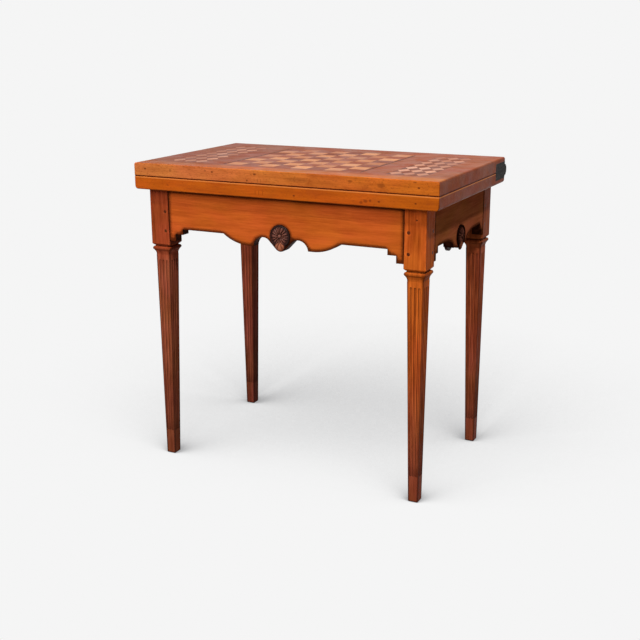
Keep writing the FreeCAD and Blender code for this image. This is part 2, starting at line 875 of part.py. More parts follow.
def leg_outline():
    """The leg seen square on: block, mouldings, tapered shaft, and a foot that stands out."""
    out = size("foot_out")
    foot = size("foot_side") / 2
    chamfer = size("foot_chamfer")
    block_chamfer = size("block_chamfer")
    astragal_in = size("astragal_side") / 2 - size("astragal_proud")
    right = [
        (half_block, under_z),
        (half_block, block_z + block_chamfer),
        (half_block - block_chamfer, block_z),
        (size("quirk_side") / 2, block_z),
        (size("quirk_side") / 2, quirk_z),
        (astragal_in, quirk_z, size("astragal_radius"), -1),
        (astragal_in, astragal_z),
        (size("cove_side") / 2, astragal_z, size("cove_tall") * COVE_RADIUS_SHARE, 1),
        (size("shaft_side") / 2, shaft_z),
    ]
    left = []
    for number in range(len(right) - 1, -1, -1):
        arc = right[number - 1][2:] if number else ()
        left.append((-right[number][0], right[number][1]) + tuple(arc))
    feet = [
        (foot - out, chamfer),
        (foot - out - chamfer, ZERO),
        (chamfer - foot - out, ZERO),
        (-foot - out, chamfer),
    ]
    return right + feet + left


def leg_profile(name, turn):
    """One square-on view of the leg, drawn through to past both faces of the block."""
    sketch = add_object("Sketcher::SketchObject", name + "_outline")
    draw_outline(sketch, leg_outline())
    sketch.Placement = FreeCAD.Placement(Vec(), turn)
    made = add_object("Part::Extrusion", name)
    made.Base = sketch
    made.DirMode = "Normal"
    made.Solid = True
    made.setExpression("LengthFwd", block_side.text)
    made.setExpression("LengthRev", block_side.text)
    return made


def flute_end(level, face, place):
    """Middle of a flute's hollow on one face, at a level. It follows the face's taper."""
    share = level / shaft_z.value
    half = (size("foot_side").value * (1 - share) + size("shaft_side").value * share) / 2
    shift = -size("foot_out").value * (1 - share)
    turn = FreeCAD.Rotation(Vec(0, 0, 1), QUARTER_TURN * face)
    along = half * FLUTE_SPREAD_SHARE * place
    outward = half + size("flute_radius").value - size("flute_deep").value
    point = turn.multVec(Vec(along, -outward, level))
    return point.add(Vec(shift, shift, 0))


def make_flutes():
    """The hollows of all the flutes of one leg."""
    high_level = (shaft_z - size("flute_below_cove")).value
    low_level = size("flute_foot_up").value
    middle_place = (FLUTES_EACH_FACE - 1) / 2
    hollows = []
    for face in range(LEG_FACES):
        for number in range(FLUTES_EACH_FACE):
            low = flute_end(low_level, face, number - middle_place)
            reach = flute_end(high_level, face, number - middle_place).sub(low)
            hollows.append(Part.makeCylinder(size("flute_radius").value, reach.Length, low, reach))
    made = add_object("Part::Feature", "flute_hollows")
    made.Shape = Part.Compound(hollows)
    return made


def make_leg_blank():
    common = add_object("Part::Common", "leg_square")
    upright = FreeCAD.Rotation(Vec(1, 0, 0), QUARTER_TURN)
    common.Base = leg_profile("leg_front_view", upright)
    side_turn = FreeCAD.Rotation(Vec(0, 0, 1), QUARTER_TURN).multiply(upright)
    common.Tool = leg_profile("leg_side_view", side_turn)
    fluted = add_object("Part::Cut", "leg_blank")
    fluted.Base = common
    fluted.Tool = make_flutes()
    return fluted


def mortise(name, swapped, tall, kind):
    """A mortise with its peg holes. It opens to high x near the low y face, or swapped."""
    along = (half_block - size("tenon_long") - size("tenon_room"), half_block + OVERRUN)
    inward = size("tenon_in") - half_block
    across = (inward, inward + size("tenon_thick"))
    peg_at = size("peg_from_corner") - half_block
    radius = size("peg_radius") + size("peg_clear")
    outside = -half_block - OVERRUN
    long = size("peg_long") + OVERRUN
    z = tenon_z(tall)
    if swapped:
        cuts = [box(name, across, along, z)]
    else:
        cuts = [box(name, along, across, z)]
    for number, level in enumerate(peg_levels(kind)):
        start = (outside, peg_at, level) if swapped else (peg_at, outside, level)
        cuts.append(whittled("%s_peg_%d" % (name, number), radius, long, start, "x" if swapped else "y"))
    return cuts


LEG_TURNS = {
    "front_left": 0,
    "front_right": QUARTER_TURN,
    "back_right": HALF_TURN,
    "back_left": -QUARTER_TURN,
}


def place_leg(made, corner):
    """Turns a leg to its corner and ties its place to the sheet."""
    made.Placement = FreeCAD.Placement(Vec(), FreeCAD.Rotation(Vec(0, 0, 1), LEG_TURNS[corner]))
    x = frame_x - half_block
    if corner.endswith("left"):
        x = -x
    y = frame_front + half_block if corner.startswith("front") else frame_back - half_block
    set_base(made, x, y, ZERO)
    return made


def make_front_leg(corner):
    name = "leg_" + corner
    cuts = mortise(name + "_mortise_a", False, "apron_tenon_tall", "apron")
    cuts += mortise(name + "_mortise_b", True, "apron_tenon_tall", "apron")
    if corner == "front_right":
        plug_at = size("plug_from_corner") - half_block
        cuts.append(whittled(name + "_plug_hole", size("plug_radius") + size("peg_clear"),
                             size("plug_long") + OVERRUN,
                             (-half_block - OVERRUN, plug_at, down("plug_drop")), "x"))
    return place_leg(subtract(name, leg_blank, cuts), corner)


def make_back_right_leg():
    name = "leg_back_right"
    cuts = mortise(name + "_mortise_b", True, "apron_tenon_tall", "apron")
    middle = frame_back - half_block - (rail_front + rail_back) / 2
    half = size("tenon_thick") / 2
    along = (half_block - size("tenon_long") - size("tenon_room"), half_block + OVERRUN)
    cuts.append(box(name + "_rail_mortise", along, (middle - half, middle + half),
                    tenon_z("rail_tenon_tall")))
    return place_leg(subtract(name, leg_blank, cuts), "back_right")


def make_swing_leg():
    """The leg on the fly rail: shorter by a hair, and rebated to close over the corner."""
    name = "leg_back_left"
    cuts = mortise(name + "_mortise", True, "rail_tenon_tall", "rail")
    clear = size("swing_clear")
    back_wall = frame_back - half_block - rail_back - clear
    lap_wall = frame_x - half_block - apron_inner_x - size("lap_thick") - clear
    cuts.append(box(name + "_rebate", (back_wall, half_block + OVERRUN), (lap_wall, half_block + OVERRUN),
                    (down("apron_drop") - clear, under_z + OVERRUN)))
    whole = (-half_block - OVERRUN, half_block + OVERRUN)
    cuts.append(box(name + "_top_easing", whole, whole,
                    (under_z - size("swing_top_clear"), under_z + OVERRUN)))
    return place_leg(subtract(name, leg_blank, cuts), "back_left")


# Pegs.

def peg_group(name, starts):
    """Pegs from the outer faces of a block inwards."""
    pegs = [whittled("%s_%d" % (name, number), size("peg_radius"), size("peg_long"), start, way)
            for number, (start, way) in enumerate(starts)]
    return compound(name, pegs)


def apron_pegs(side, end):
    """Starts of the pegs of a side apron's tenon, at its front or back end."""
    y = frame_front + size("peg_from_corner") if end == "front" else frame_back - size("peg_from_corner")
    way = "-x" if side > 0 else "x"
    return [((frame_x * side, y, z), way) for z in peg_levels("apron")]


def front_pegs(side):
    """Starts of the pegs of the front apron's tenon at one end."""
    x = (frame_x - size("peg_from_corner")) * side
    return [((x, frame_front, z), "y") for z in peg_levels("apron")]


def make_pegs():
    made = []
    for side, tag in ((-1, "left"), (1, "right")):
        made.append(peg_group("pegs_front_" + tag, front_pegs(side) + apron_pegs(side, "front")))
    made.append(peg_group("pegs_back_right", apron_pegs(1, "back")))
    x = size("peg_from_corner") - frame_x
    made.append(peg_group("pegs_swing_leg", [((x, frame_back, z), "-y") for z in peg_levels("rail")]))
    plug_x = frame_x - size("plug_from_corner")
    made.append(whittled("corner_plug", size("plug_radius"), size("plug_long"),
                         (plug_x, frame_front, down("plug_drop")), "y"))
    return made


# Carving.

def star_corners(count, sweep, tip, valley):
    """Corners of a star, or of part of one that faces down, from a valley at its left."""
    corners = []
    last = count * 2 if sweep == FULL_TURN else count * 2 + 1
    for number in range(last):
        angle = math.radians(HALF_TURN + sweep * number / (count * 2))
        reach = tip.value if number % 2 else valley.value
        corners.append(Vec(math.cos(angle) * reach, 0, math.sin(angle) * reach))
    return corners


def carved(name, corners, middle, low, high, top_share):
    """A flat-topped mound on an outline, of straight chisel cuts, between two depths."""
    rings = []
    for share, forward in ((1, low.value), (top_share, high.value)):
        level = middle.value
        rings.append([Vec(corner.x * share, -forward, level + corner.z * share) for corner in corners])
    outlines = [rings[0], rings[1]]
    for number in range(len(corners)):
        outlines.append([rings[0][number - 1], rings[0][number], rings[1][number], rings[1][number - 1]])
    faces = [Part.Face(Part.makePolygon(outline + outline[:1])) for outline in outlines]
    made = add_object("Part::Feature", name)
    made.Shape = Part.makeSolid(Part.makeShell(faces))
    return made


def make_rosette(name, centre_drop, fan_drop):
    """A dished round of petals about a boss, with a small fan below, facing low y at x zero."""
    middle = down(centre_drop)
    outer = size("rosette_radius")
    inner = outer - size("rosette_rim_wide")
    rim_high = size("rosette_rim_high")
    round_rim = star_corners(RIM_CUTS, FULL_TURN, outer, outer)
    round_sink = star_corners(RIM_CUTS, FULL_TURN, inner, inner)
    petals = star_corners(PETALS, FULL_TURN, size("petal_tip"), size("petal_valley"))
    round_boss = star_corners(BOSS_CUTS, FULL_TURN, size("boss_radius"), size("boss_radius"))
    lobes = star_corners(FAN_LOBES, HALF_TURN, size("fan_tip"), size("fan_valley"))
    petal_share = size("petal_top").value / size("petal_tip").value
    fan_share = size("fan_top").value / size("fan_tip").value
    disc = carved(name + "_disc", round_rim, middle, ZERO, rim_high, RIM_TOP_SHARE)
    sink = carved(name + "_sink", round_sink, middle, size("rosette_base"), rim_high + OVERRUN, 1)
    made = add_object("Part::MultiFuse", name)
    made.Shapes = [
        subtract(name + "_dished", disc, [sink]),
        carved(name + "_petals", petals, middle, ZERO, size("petal_high"), petal_share),
        carved(name + "_boss", round_boss, middle, ZERO, size("boss_high"), BOSS_TOP_SHARE),
        carved(name + "_fan", lobes, down(fan_drop), ZERO, size("fan_high"), fan_share),
    ]
    return made


def make_rosettes():
    front = make_rosette("rosette_front", "front_rosette_drop", "front_fan_drop")
    set_base(front, ZERO, frame_front + setback, ZERO)
    made = [front]
    for side, tag in ((-1, "left"), (1, "right")):
        rosette = make_rosette("rosette_" + tag, "side_rosette_drop", "side_fan_drop")
        rosette.Placement = FreeCAD.Placement(Vec(), FreeCAD.Rotation(Vec(0, 0, 1), QUARTER_TURN * side))
        set_base(rosette, (frame_x - setback) * side, frame_middle, ZERO)
        made.append(rosette)
    return made


def make_backing(side):
    """A round-ended plate behind the tongue of a side apron."""
    name = "rosette_backing_" + ("right" if side > 0 else "left")
    half = size("backing_half_wide")
    rise = size("backing_rise").value
    corners = star_corners(BACKING_CUTS, HALF_TURN, half, half)
    corners += [Vec(half.value, 0, rise), Vec(-half.value, 0, rise)]
    made = carved(name, corners, down("backing_drop"), ZERO, size("backing_thick"), 1)
    made.Placement = FreeCAD.Placement(Vec(), FreeCAD.Rotation(Vec(0, 0, 1), QUARTER_TURN * side))
    set_base(made, (apron_inner_x - size("backing_thick")) * side, frame_middle, ZERO)
    return made


# Glue blocks.

def corner_block(number, corner_x, corner_y, way_x, way_y):
    """A three-sided block in the angle of two faces."""
    name = "corner_block_%d" % number
    side = size("corner_block_side")
    top = down("corner_block_top")
    sketch = add_object("Sketcher::SketchObject", name + "_plan")
    draw_outline(sketch, [(corner_x, corner_y), (corner_x + side * way_x, corner_y),
                          (corner_x, corner_y + side * way_y)])
    sketch.setExpression("Placement.Base.z", (top - size("corner_block_tall")).text)
    made = add_object("Part::Extrusion", name)
    made.Base = sketch
    made.DirMode = "Normal"
    made.Solid = True
    made.setExpression("LengthFwd", size("corner_block_tall").text)
    return made


def make_corner_blocks():
    places = [
        (-block_in_x, front_apron_inner, 1, 1),
        (-apron_inner_x, block_in_front, 1, 1),
        (block_in_x, front_apron_inner, -1, 1),
        (apron_inner_x, block_in_front, -1, 1),
        (apron_inner_x, block_in_back, -1, -1),
        (-apron_inner_x, rail_front, 1, -1),
    ]
    blocks = [corner_block(number, *place) for number, place in enumerate(places)]
    return compound("corner_blocks", blocks)


def top_block_places():
    """Middle and length direction of each glue block under the lower leaf."""
    half = size("top_block_side") / 2
    side_line = apron_inner_x - half
    places = []
    for step in (-1, 0, 1):
        x = size("front_block_spacing") * step
        places.append((x, front_apron_inner + half, "along_x"))
        places.append((x, rail_front - half, "along_x"))
    for step in (-1, 1):
        y = frame_middle + size("side_block_spacing") / 2 * step
        places.append((-side_line, y, "along_y"))
        places.append((side_line, y, "along_y"))
    return places


def make_top_blocks():
    half = size("top_block_side") / 2
    half_long = size("top_block_long") / 2
    z = (under_z - size("top_block_side"), under_z)
    blocks = []
    for number, (x, y, direction) in enumerate(top_block_places()):
        reach_x, reach_y = (half_long, half) if direction == "along_x" else (half, half_long)
        span_x = (x - reach_x, x + reach_x)
        span_y = (y - reach_y, y + reach_y)
        blocks.append(box("top_block_%d" % number, span_x, span_y, z))
    return compound("top_blocks", blocks)


leg_blank = make_leg_blank()
parts = [make_upper_leaf(), make_lower_leaf(), make_strings()]
parts += make_board() + make_lozenges(1) + make_lozenges(-1) + make_baize() + make_hinges()
parts += [make_front_apron(), make_side_apron(1), make_side_apron(-1)]
parts += [make_inner_rail(), make_fixed_rail(), make_fly_rail(), make_knuckle_pin()]
parts += [make_front_leg("front_left"), make_front_leg("front_right")]
parts += [make_back_right_leg(), make_swing_leg()]
parts += make_pegs() + make_rosettes() + [make_backing(1), make_backing(-1)]
parts += [make_corner_blocks(), make_top_blocks()]
doc.recompute()

for made in doc.Objects:
    if "Invalid" in made.State or "Error" in made.State:
        raise RuntimeError("%s failed: %s" % (made.Label, made.State))
for made in parts:
    if made.Shape.isNull() or not made.Shape.isValid() or not made.Shape.Solids:
        raise RuntimeError("%s has no valid shape" % made.Label)

os.makedirs("parts", exist_ok=True)
for made in parts:
    made.Shape.exportStep("parts/%s.step" % made.Label)
    print("%s: %d solids, %.0f mm3" % (made.Label, len(made.Shape.Solids), made.Shape.Volume))
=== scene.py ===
import math

import bmesh
import bpy
from mathutils import Matrix, Vector


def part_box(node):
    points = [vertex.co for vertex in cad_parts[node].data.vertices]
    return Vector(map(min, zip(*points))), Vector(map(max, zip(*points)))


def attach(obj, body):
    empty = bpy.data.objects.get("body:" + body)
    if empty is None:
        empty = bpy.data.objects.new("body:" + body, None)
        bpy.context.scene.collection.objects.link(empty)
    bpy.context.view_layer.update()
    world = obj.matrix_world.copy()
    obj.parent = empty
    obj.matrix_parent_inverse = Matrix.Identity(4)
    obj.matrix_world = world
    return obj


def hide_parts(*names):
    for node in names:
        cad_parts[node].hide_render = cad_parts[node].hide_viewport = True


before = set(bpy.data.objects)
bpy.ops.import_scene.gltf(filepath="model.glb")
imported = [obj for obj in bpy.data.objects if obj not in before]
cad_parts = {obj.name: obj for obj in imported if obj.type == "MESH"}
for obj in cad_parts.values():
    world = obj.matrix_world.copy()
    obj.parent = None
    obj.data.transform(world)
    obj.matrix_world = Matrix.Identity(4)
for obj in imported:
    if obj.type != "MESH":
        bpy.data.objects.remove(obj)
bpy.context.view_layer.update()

# Looks of the folding games table. Metres: X to the right, Y to the back, Z up, with the origin
# on the floor under the middle of the closed table.

# Boxes that the looks are placed by, each as its low and its high corner.
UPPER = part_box("upper_leaf_panel")
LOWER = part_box("lower_leaf_panel")
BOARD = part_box("chess_squares_light")
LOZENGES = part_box("lozenges_light_right")
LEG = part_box("leg_front_right")
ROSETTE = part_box("rosette_front")
HINGE_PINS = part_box("hinge_rivets")
UPPER_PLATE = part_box("hinge_arm_upper_right")
LOWER_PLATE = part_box("hinge_arm_lower_right")

BOARD_SQUARES = 8
LOZENGE_COLUMNS = 3
LOZENGE_ROWS = 7
SQUARE = (BOARD[1].x - BOARD[0].x) / BOARD_SQUARES
LOZENGE_WIDE = (LOZENGES[1].x - LOZENGES[0].x) / LOZENGE_COLUMNS
LOZENGE_LONG = (LOZENGES[1].y - LOZENGES[0].y) / LOZENGE_ROWS
ROSETTE_RADIUS = 0.0263
SHELL_RADIUS = 0.014


def shade(red, green, blue):
    """A colour written as it looks on screen, from 0 to 255, as linear red, green and blue."""
    linear = []
    for level in (red, green, blue):
        share = level / 255
        linear.append(share / 12.92 if share <= 0.04045 else ((share + 0.055) / 1.055) ** 2.4)
    return (*linear, 1.0)


class Shader:
    """One material and the nodes that make it."""

    def __init__(self, name):
        self.material = bpy.data.materials.new(name)
        self.material.use_nodes = True
        self.tree = self.material.node_tree
        self.tree.nodes.clear()
        coordinates = self.add("ShaderNodeTexCoord").outputs
        self.place = coordinates["Object"]
        self.x, self.y, self.z = self.apart(self.place)
        self.facing = self.apart(coordinates["Normal"])

    def add(self, kind, inputs=None, **settings):
        """A node with its settings, and its inputs linked or set."""
        node = self.tree.nodes.new(kind)
        for name, value in settings.items():
            setattr(node, name, value)
        for key, value in (inputs or {}).items():
            self.feed(node.inputs[key], value)
        return node

    def feed(self, socket, value):
        if isinstance(value, bpy.types.NodeSocket):
            self.tree.links.new(value, socket)
        else:
            socket.default_value = value

    def math(self, operation, *values):
        node = self.add("ShaderNodeMath", operation=operation)
        for socket, value in zip(node.inputs, values):
            self.feed(socket, value)
        return node.outputs[0]

    def vector_math(self, operation, first, second):
        node = self.add("ShaderNodeVectorMath", {0: first, 1: second}, operation=operation)
        return node.outputs[0]

    def product(self, *values):
        total = values[0]
        for value in values[1:]:
            total = self.math("MULTIPLY", total, value)
        return total

    def greatest(self, *values):
        most = values[0]
        for value in values[1:]:
            most = self.math("MAXIMUM", most, value)
        return most

    def total(self, *pairs):
        """The weighted sum of values, given as pairs of value and weight."""
        total = None
        for value, weight in pairs:
            part = self.math("MULTIPLY", value, weight)
            total = part if total is None else self.math("ADD", total, part)
        return total

    def blend(self, factor, low, high, kind="MIX"):
        node = self.add("ShaderNodeMix", data_type="RGBA", blend_type=kind)
        self.feed(node.inputs[0], factor)
        self.feed(node.inputs[6], low)
        self.feed(node.inputs[7], high)
        return node.outputs[2]

    def times(self, colour, factors):
        """A colour with its red, green and blue multiplied."""
        return self.blend(1.0, colour, factors, "MULTIPLY")

    def tint(self, red, green, blue):
        return self.add("ShaderNodeCombineColor", {0: red, 1: green, 2: blue}).outputs[0]

    def stretched(self, scales, vector=None):
        """The place on the piece, scaled along each axis."""
        inputs = {"Vector": vector or self.place, "Scale": scales}
        return self.add("ShaderNodeMapping", inputs).outputs[0]

    def noise(self, vector, scale, detail=2.0, roughness=0.5, distortion=0.0):
        inputs = {"Vector": vector, "Scale": scale, "Detail": detail, "Roughness": roughness,
                  "Distortion": distortion}
        return self.add("ShaderNodeTexNoise", inputs).outputs[0]

    def spread(self, value, low, high, new_low=0.0, new_high=1.0):
        """Moves a range of values to another, and holds it there."""
        inputs = {0: value, 1: low, 2: high, 3: new_low, 4: new_high}
        return self.add("ShaderNodeMapRange", inputs, interpolation_type="SMOOTHSTEP").outputs[0]

    def ramp(self, factor, stops):
        node = self.add("ShaderNodeValToRGB", {"Fac": factor})
        points = node.color_ramp.elements
        while len(points) < len(stops):
            points.new(0.5)
        for point, (position, colour) in zip(points, stops):
            point.position = position
            point.color = colour
        return node.outputs[0]

    def apart(self, vector):
        """X, Y and Z of a vector."""
        return self.add("ShaderNodeSeparateXYZ", {0: vector}).outputs

    def facing_along(self, axis):
        return self.facing["XYZ".index(axis)]

    def turned_to(self, axis, sign=1.0):
        """1 on faces that look along an axis of the piece, 0 on the rest. Sign 0 takes faces that
        look either way."""
        part = self.facing_along(axis)
        value = self.math("ABSOLUTE", part) if sign == 0 else self.math("MULTIPLY", part, sign)
        return self.spread(value, 0.5, 0.85)

    def within(self, value, low, high, soft):
        """1 between two places, falling to 0 outside them."""
        first = self.spread(value, low - soft, low + soft)
        last = self.spread(value, high + soft, high - soft)
        return self.math("MULTIPLY", first, last)

    def distance(self, middle, reach):
        """How far a place is from the middle, 1 at the reach. Axes with no reach don't count."""
        total = None
        for value, centre, length in zip((self.x, self.y, self.z), middle, reach):
            if length:
                far = self.math("DIVIDE", self.math("SUBTRACT", value, centre), length)
                square = self.math("MULTIPLY", far, far)
                total = square if total is None else self.math("ADD", total, square)
        return self.math("SQRT", total)

    def cavity(self, reach):
        """1 in the open, less in grooves and inner corners."""
        node = self.add("ShaderNodeAmbientOcclusion", {"Distance": reach}, samples=6)
        return node.outputs["AO"]

    def softened(self, radius):
        """The normal, rounded at the edges."""
        return self.add("ShaderNodeBevel", {"Radius": radius}, samples=4).outputs[0]

    def edges(self, reach):
        """1 along the outer edges of a piece, 0 away from them."""
        inner = self.add("ShaderNodeAmbientOcclusion", {"Distance": reach}, samples=8, inside=True,
                         only_local=True)
        return self.spread(inner.outputs["AO"], 0.97, 0.66)

    def bump(self, height, strength, distance, normal=None):
        inputs = {"Height": height, "Strength": strength, "Distance": distance}
        if normal:
            inputs["Normal"] = normal
        return self.add("ShaderNodeBump", inputs).outputs[0]

    def finish(self, **inputs):
        """Ends the material in one surface shader."""
        named = {key.replace("_", " "): value for key, value in inputs.items()}
        shader = self.add("ShaderNodeBsdfPrincipled", named)
        return self.end_in(shader.outputs[0])

    def end_in(self, surface):
        self.tree.links.new(surface, self.add("ShaderNodeOutputMaterial").inputs[0])
        return self.material


# Old polished fruitwood.

# The dark of dirt in pores and hollows, also used for painted shade in hollows and on shaded edges.
DIRT_AND_SHADE = shade(40, 14, 6)
REDDER = (1.03, 0.92, 1.06, 1.0)
YELLOWER = (0.99, 1.06, 0.86, 1.0)
STAINED = (0.62, 0.5, 0.42, 1.0)
RUBBED_AND_LIT_PALE = (1.45, 1.5, 1.6, 1.0)
STAIN_SHARE = 0.35
POLISH = 0.055
DULL = 0.01
ROUGHNESS = 0.42
ARRIS = 0.0025
WAVE = 0.008
MIDDLE_TONES = (0.36, 0.64)


def along(grain, share):
    """Scales that draw a pattern out along the grain."""
    return tuple(share if axis == grain else 1.0 for axis in "XYZ")


def waving_place(shader, grain, seed):
    """The place on the piece, moved for each wood, with a slow wave in its grain."""
    shift = (seed, seed * 0.7, seed * 1.3)
    place = shader.add("ShaderNodeMapping", {"Vector": shader.place, "Location": shift}).outputs[0]
    slow = {"Vector": shader.stretched(along(grain, 0.4), place), "Scale": 9.0, "Detail": 1.0}
    wave = shader.add("ShaderNodeTexNoise", slow).outputs[1]
    return shader.vector_math("ADD", place, shader.vector_math("MULTIPLY", wave, (WAVE, WAVE, WAVE)))


def wood_tone(shader, grain, seed, fine=1.0):
    """Light and dark of a planed board, from 0 to 1 about a half, its pores, and the height of
    its surface."""
    place = waving_place(shader, grain, seed)

    def pattern(stretch, scale, detail, roughness=0.5):
        return shader.noise(shader.stretched(along(grain, stretch), place), scale, detail, roughness)

    figure = pattern(0.07, scale=95.0 * fine, detail=4.0, roughness=0.6)
    streaks = pattern(0.03, scale=420.0 * fine, detail=3.0, roughness=0.65)
    fibres = pattern(0.015, scale=2400.0 * fine, detail=2.0, roughness=0.6)
    clouds = pattern(0.45, scale=24.0, detail=3.0, roughness=0.55)
    tone = shader.total((figure, 0.36), (streaks, 0.26), (fibres, 0.14), (clouds, 0.24))
    pores = shader.spread(pattern(0.03, scale=2900.0, detail=1.0), 0.62, 0.75)
    height = shader.total((fibres, 0.6), (pores, -1.0))
    return tone, pores, height


def grained(shader, base, tone, contrast):
    """The wood's colour with its grain, redder where it is dark."""
    light = shader.spread(tone, *MIDDLE_TONES, 1.0 - contrast, 1.0 + contrast)
    red = shader.math("POWER", light, 0.8)
    blue = shader.math("POWER", light, 1.25)
    return shader.times(base, shader.tint(red, light, blue))


def aged(shader, colour, grain, seed):
    """Redder and yellower patches, and dark blotches drawn out along the grain."""
    warmth = shader.noise(shader.stretched(along(grain, 0.5)), scale=11.0, detail=2.0, roughness=0.6)
    redder, yellower = shader.times(colour, REDDER), shader.times(colour, YELLOWER)
    colour = shader.blend(shader.spread(warmth, *MIDDLE_TONES), redder, yellower)
    blotch = shader.noise(shader.stretched(along(grain, 0.35)), scale=13.0 + 0.1 * seed, detail=3.0,
                          roughness=0.55, distortion=0.4)
    share = shader.spread(blotch, 0.48, 0.78, 0.0, STAIN_SHARE)
    return shader.blend(share, colour, shader.times(colour, STAINED))


def edge_wear_and_light(shader, colour, reach, edge_shade):
    """Edges rubbed pale in patches as wear and painted highlight, and edges painted dark as shade by
    the given share.
    """
    rim = shader.edges(reach)
    edge_shade_share = edge_shade(shader) if callable(edge_shade) else edge_shade
    lit_rim = shader.product(rim, shader.math("SUBTRACT", 1.0, edge_shade_share))
    knocks = shader.noise(shader.place, scale=60.0, detail=3.0, roughness=0.6)
    # Pale patches on the unshaded edges stand for rubbing and a painted highlight.
    rubbed = shader.product(lit_rim, shader.spread(knocks, 0.4, 0.65, 0.15, 0.8))
    colour = shader.blend(rubbed, colour, shader.times(colour, RUBBED_AND_LIT_PALE))
    return shader.blend(shader.product(rim, edge_shade_share, 0.85), colour, DIRT_AND_SHADE)


def dented(shader, fibre_height, normal=None):
    """The normal of old wood, with shallow dents and open fibres."""
    dents = shader.noise(shader.place, scale=75.0, detail=3.0, roughness=0.65)
    normal = shader.bump(dents, strength=0.22, distance=0.001, normal=normal)
    return shader.bump(fibre_height, strength=0.2, distance=0.00015, normal=normal)


def handled(shader, roughness):
    """The roughness of old polish, less in some patches and more in others."""
    patches = shader.noise(shader.place, scale=24.0, detail=4.0, roughness=0.6)
    return shader.spread(patches, 0.3, 0.75, roughness - 0.06, roughness + 0.12)


def wood(name, grain, middle, seed, contrast=0.3, polish=POLISH, roughness=ROUGHNESS, fine=1.0,
         paint=None, edge=ARRIS, edge_shade=0.0, hollow=0.009):
    """Old wood: its colour with grain, stains, dirt and painted shade in the corners, and edges
    worn and painted with highlight and shade. The middle colour and the share of painted shade on
    the edges are each a value, or a function that gives one for every place."""
    shader = Shader(name)
    tone, pores, height = wood_tone(shader, grain, seed, fine)
    base = middle(shader) if callable(middle) else middle
    colour = aged(shader, grained(shader, base, tone, contrast), grain, seed)
    colour = shader.blend(shader.product(pores, 0.25), colour, DIRT_AND_SHADE)
    if paint:
        colour = paint(shader, colour)
    # Dirt and painted shade darken the hollows and inner corners.
    dirt = shader.spread(shader.cavity(hollow), 0.93, 0.4)
    colour = shader.blend(shader.product(dirt, 0.85), colour, DIRT_AND_SHADE)
    colour = edge_wear_and_light(shader, colour, edge, edge_shade)
    normal = dented(shader, height, shader.softened(ARRIS))
    return shader.finish(Base_Color=colour, Roughness=handled(shader, roughness), Normal=normal,
                         Specular_IOR_Level=polish)


# Marks of use on the leaves.

MARK = shade(74, 26, 8)
EDGE_STAIN = shade(150, 66, 20)
FLECK = shade(112, 46, 14)
PIT = shade(84, 32, 12)

UPPER_MARKS = [(-0.361, 0.7466, 0.0028, 0.002, 0.8), (-0.2885, 0.7465, 0.0035, 0.0035, 0.35),
               (-0.1898, 0.7508, 0.003, 0.0014, 0.6), (-0.1709, 0.7491, 0.0026, 0.0024, 0.7),
               (-0.0767, 0.7348, 0.0016, 0.0026, 0.85), (-0.0564, 0.7503, 0.004, 0.0022, 0.7),
               (0.053, 0.7438, 0.03, 0.0052, 0.3), (-0.0486, 0.736, 0.0008, 0.005, 0.5),
               (-0.0404, 0.736, 0.0008, 0.005, 0.5), (0.3465, 0.7441, 0.0034, 0.0016, 0.9),
               (0.1848, 0.7488, 0.006, 0.003, 0.45), (0.2587, 0.744, 0.009, 0.0045, 0.4),
               (0.3371, 0.7555, 0.004, 0.002, 0.4)]
LOWER_MARKS = [(-0.0557, 0.7085, 0.0009, 0.006, 0.4), (-0.046, 0.7085, 0.0009, 0.006, 0.45),
               (-0.0362, 0.7085, 0.0009, 0.006, 0.4), (0.0451, 0.7075, 0.0028, 0.0018, 0.8),
               (0.254, 0.7081, 0.003, 0.0016, 0.8), (0.3395, 0.7099, 0.0026, 0.0018, 0.75),
               (-0.2975, 0.7107, 0.003, 0.0012, 0.6), (0.2115, 0.704, 0.004, 0.0035, 0.45),
               (0.222, 0.7075, 0.005, 0.0035, 0.5), (0.2332, 0.709, 0.003, 0.003, 0.5)]


def draw_marks(shader, base, marks):
    """Old filled nail holes, scratches and knocks on the front edge of a leaf. Each mark is its
    place across and up, its half size across and up, and its strength."""
    for across, up, half_wide, half_tall, strength in marks:
        far = shader.distance((across, 0, up), (half_wide, 0, half_tall))
        base = shader.blend(shader.spread(far, 1.35, 0.55, 0.0, strength), base, MARK)
    return base


def speckles(shader, base, amount):
    """Small dark flecks, pits and stains of a knocked edge."""
    place = shader.stretched((0.55, 1.0, 1.0))
    flecks = shader.noise(place, scale=260.0, detail=3.0, roughness=0.7)
    pits = shader.noise(place, scale=620.0, detail=2.0, roughness=0.6)
    stains = shader.noise(shader.stretched((0.4, 1.0, 1.0)), scale=42.0, detail=3.0, roughness=0.6)
    base = shader.blend(shader.product(shader.spread(stains, 0.5, 0.74), amount), base, EDGE_STAIN)
    base = shader.blend(shader.product(shader.spread(flecks, 0.54, 0.7), amount), base, FLECK)
    return shader.blend(shader.product(shader.spread(pits, 0.6, 0.74), amount), base, PIT)


def knocked_front(shader, base, amount, marks):
    """Speckles and marks on the front edge of a leaf."""
    marked = draw_marks(shader, speckles(shader, base, amount), marks)
    return shader.blend(shader.turned_to("Y", -1.0), base, marked)


def joint_line(shader, base, dark_from, dark_to):
    """Dark red dirt along the joint between the leaves."""
    dirt = shader.product(shader.spread(shader.z, dark_from, dark_to), 0.8)
    return shader.blend(dirt, base, shade(84, 18, 6))


# The leaves.

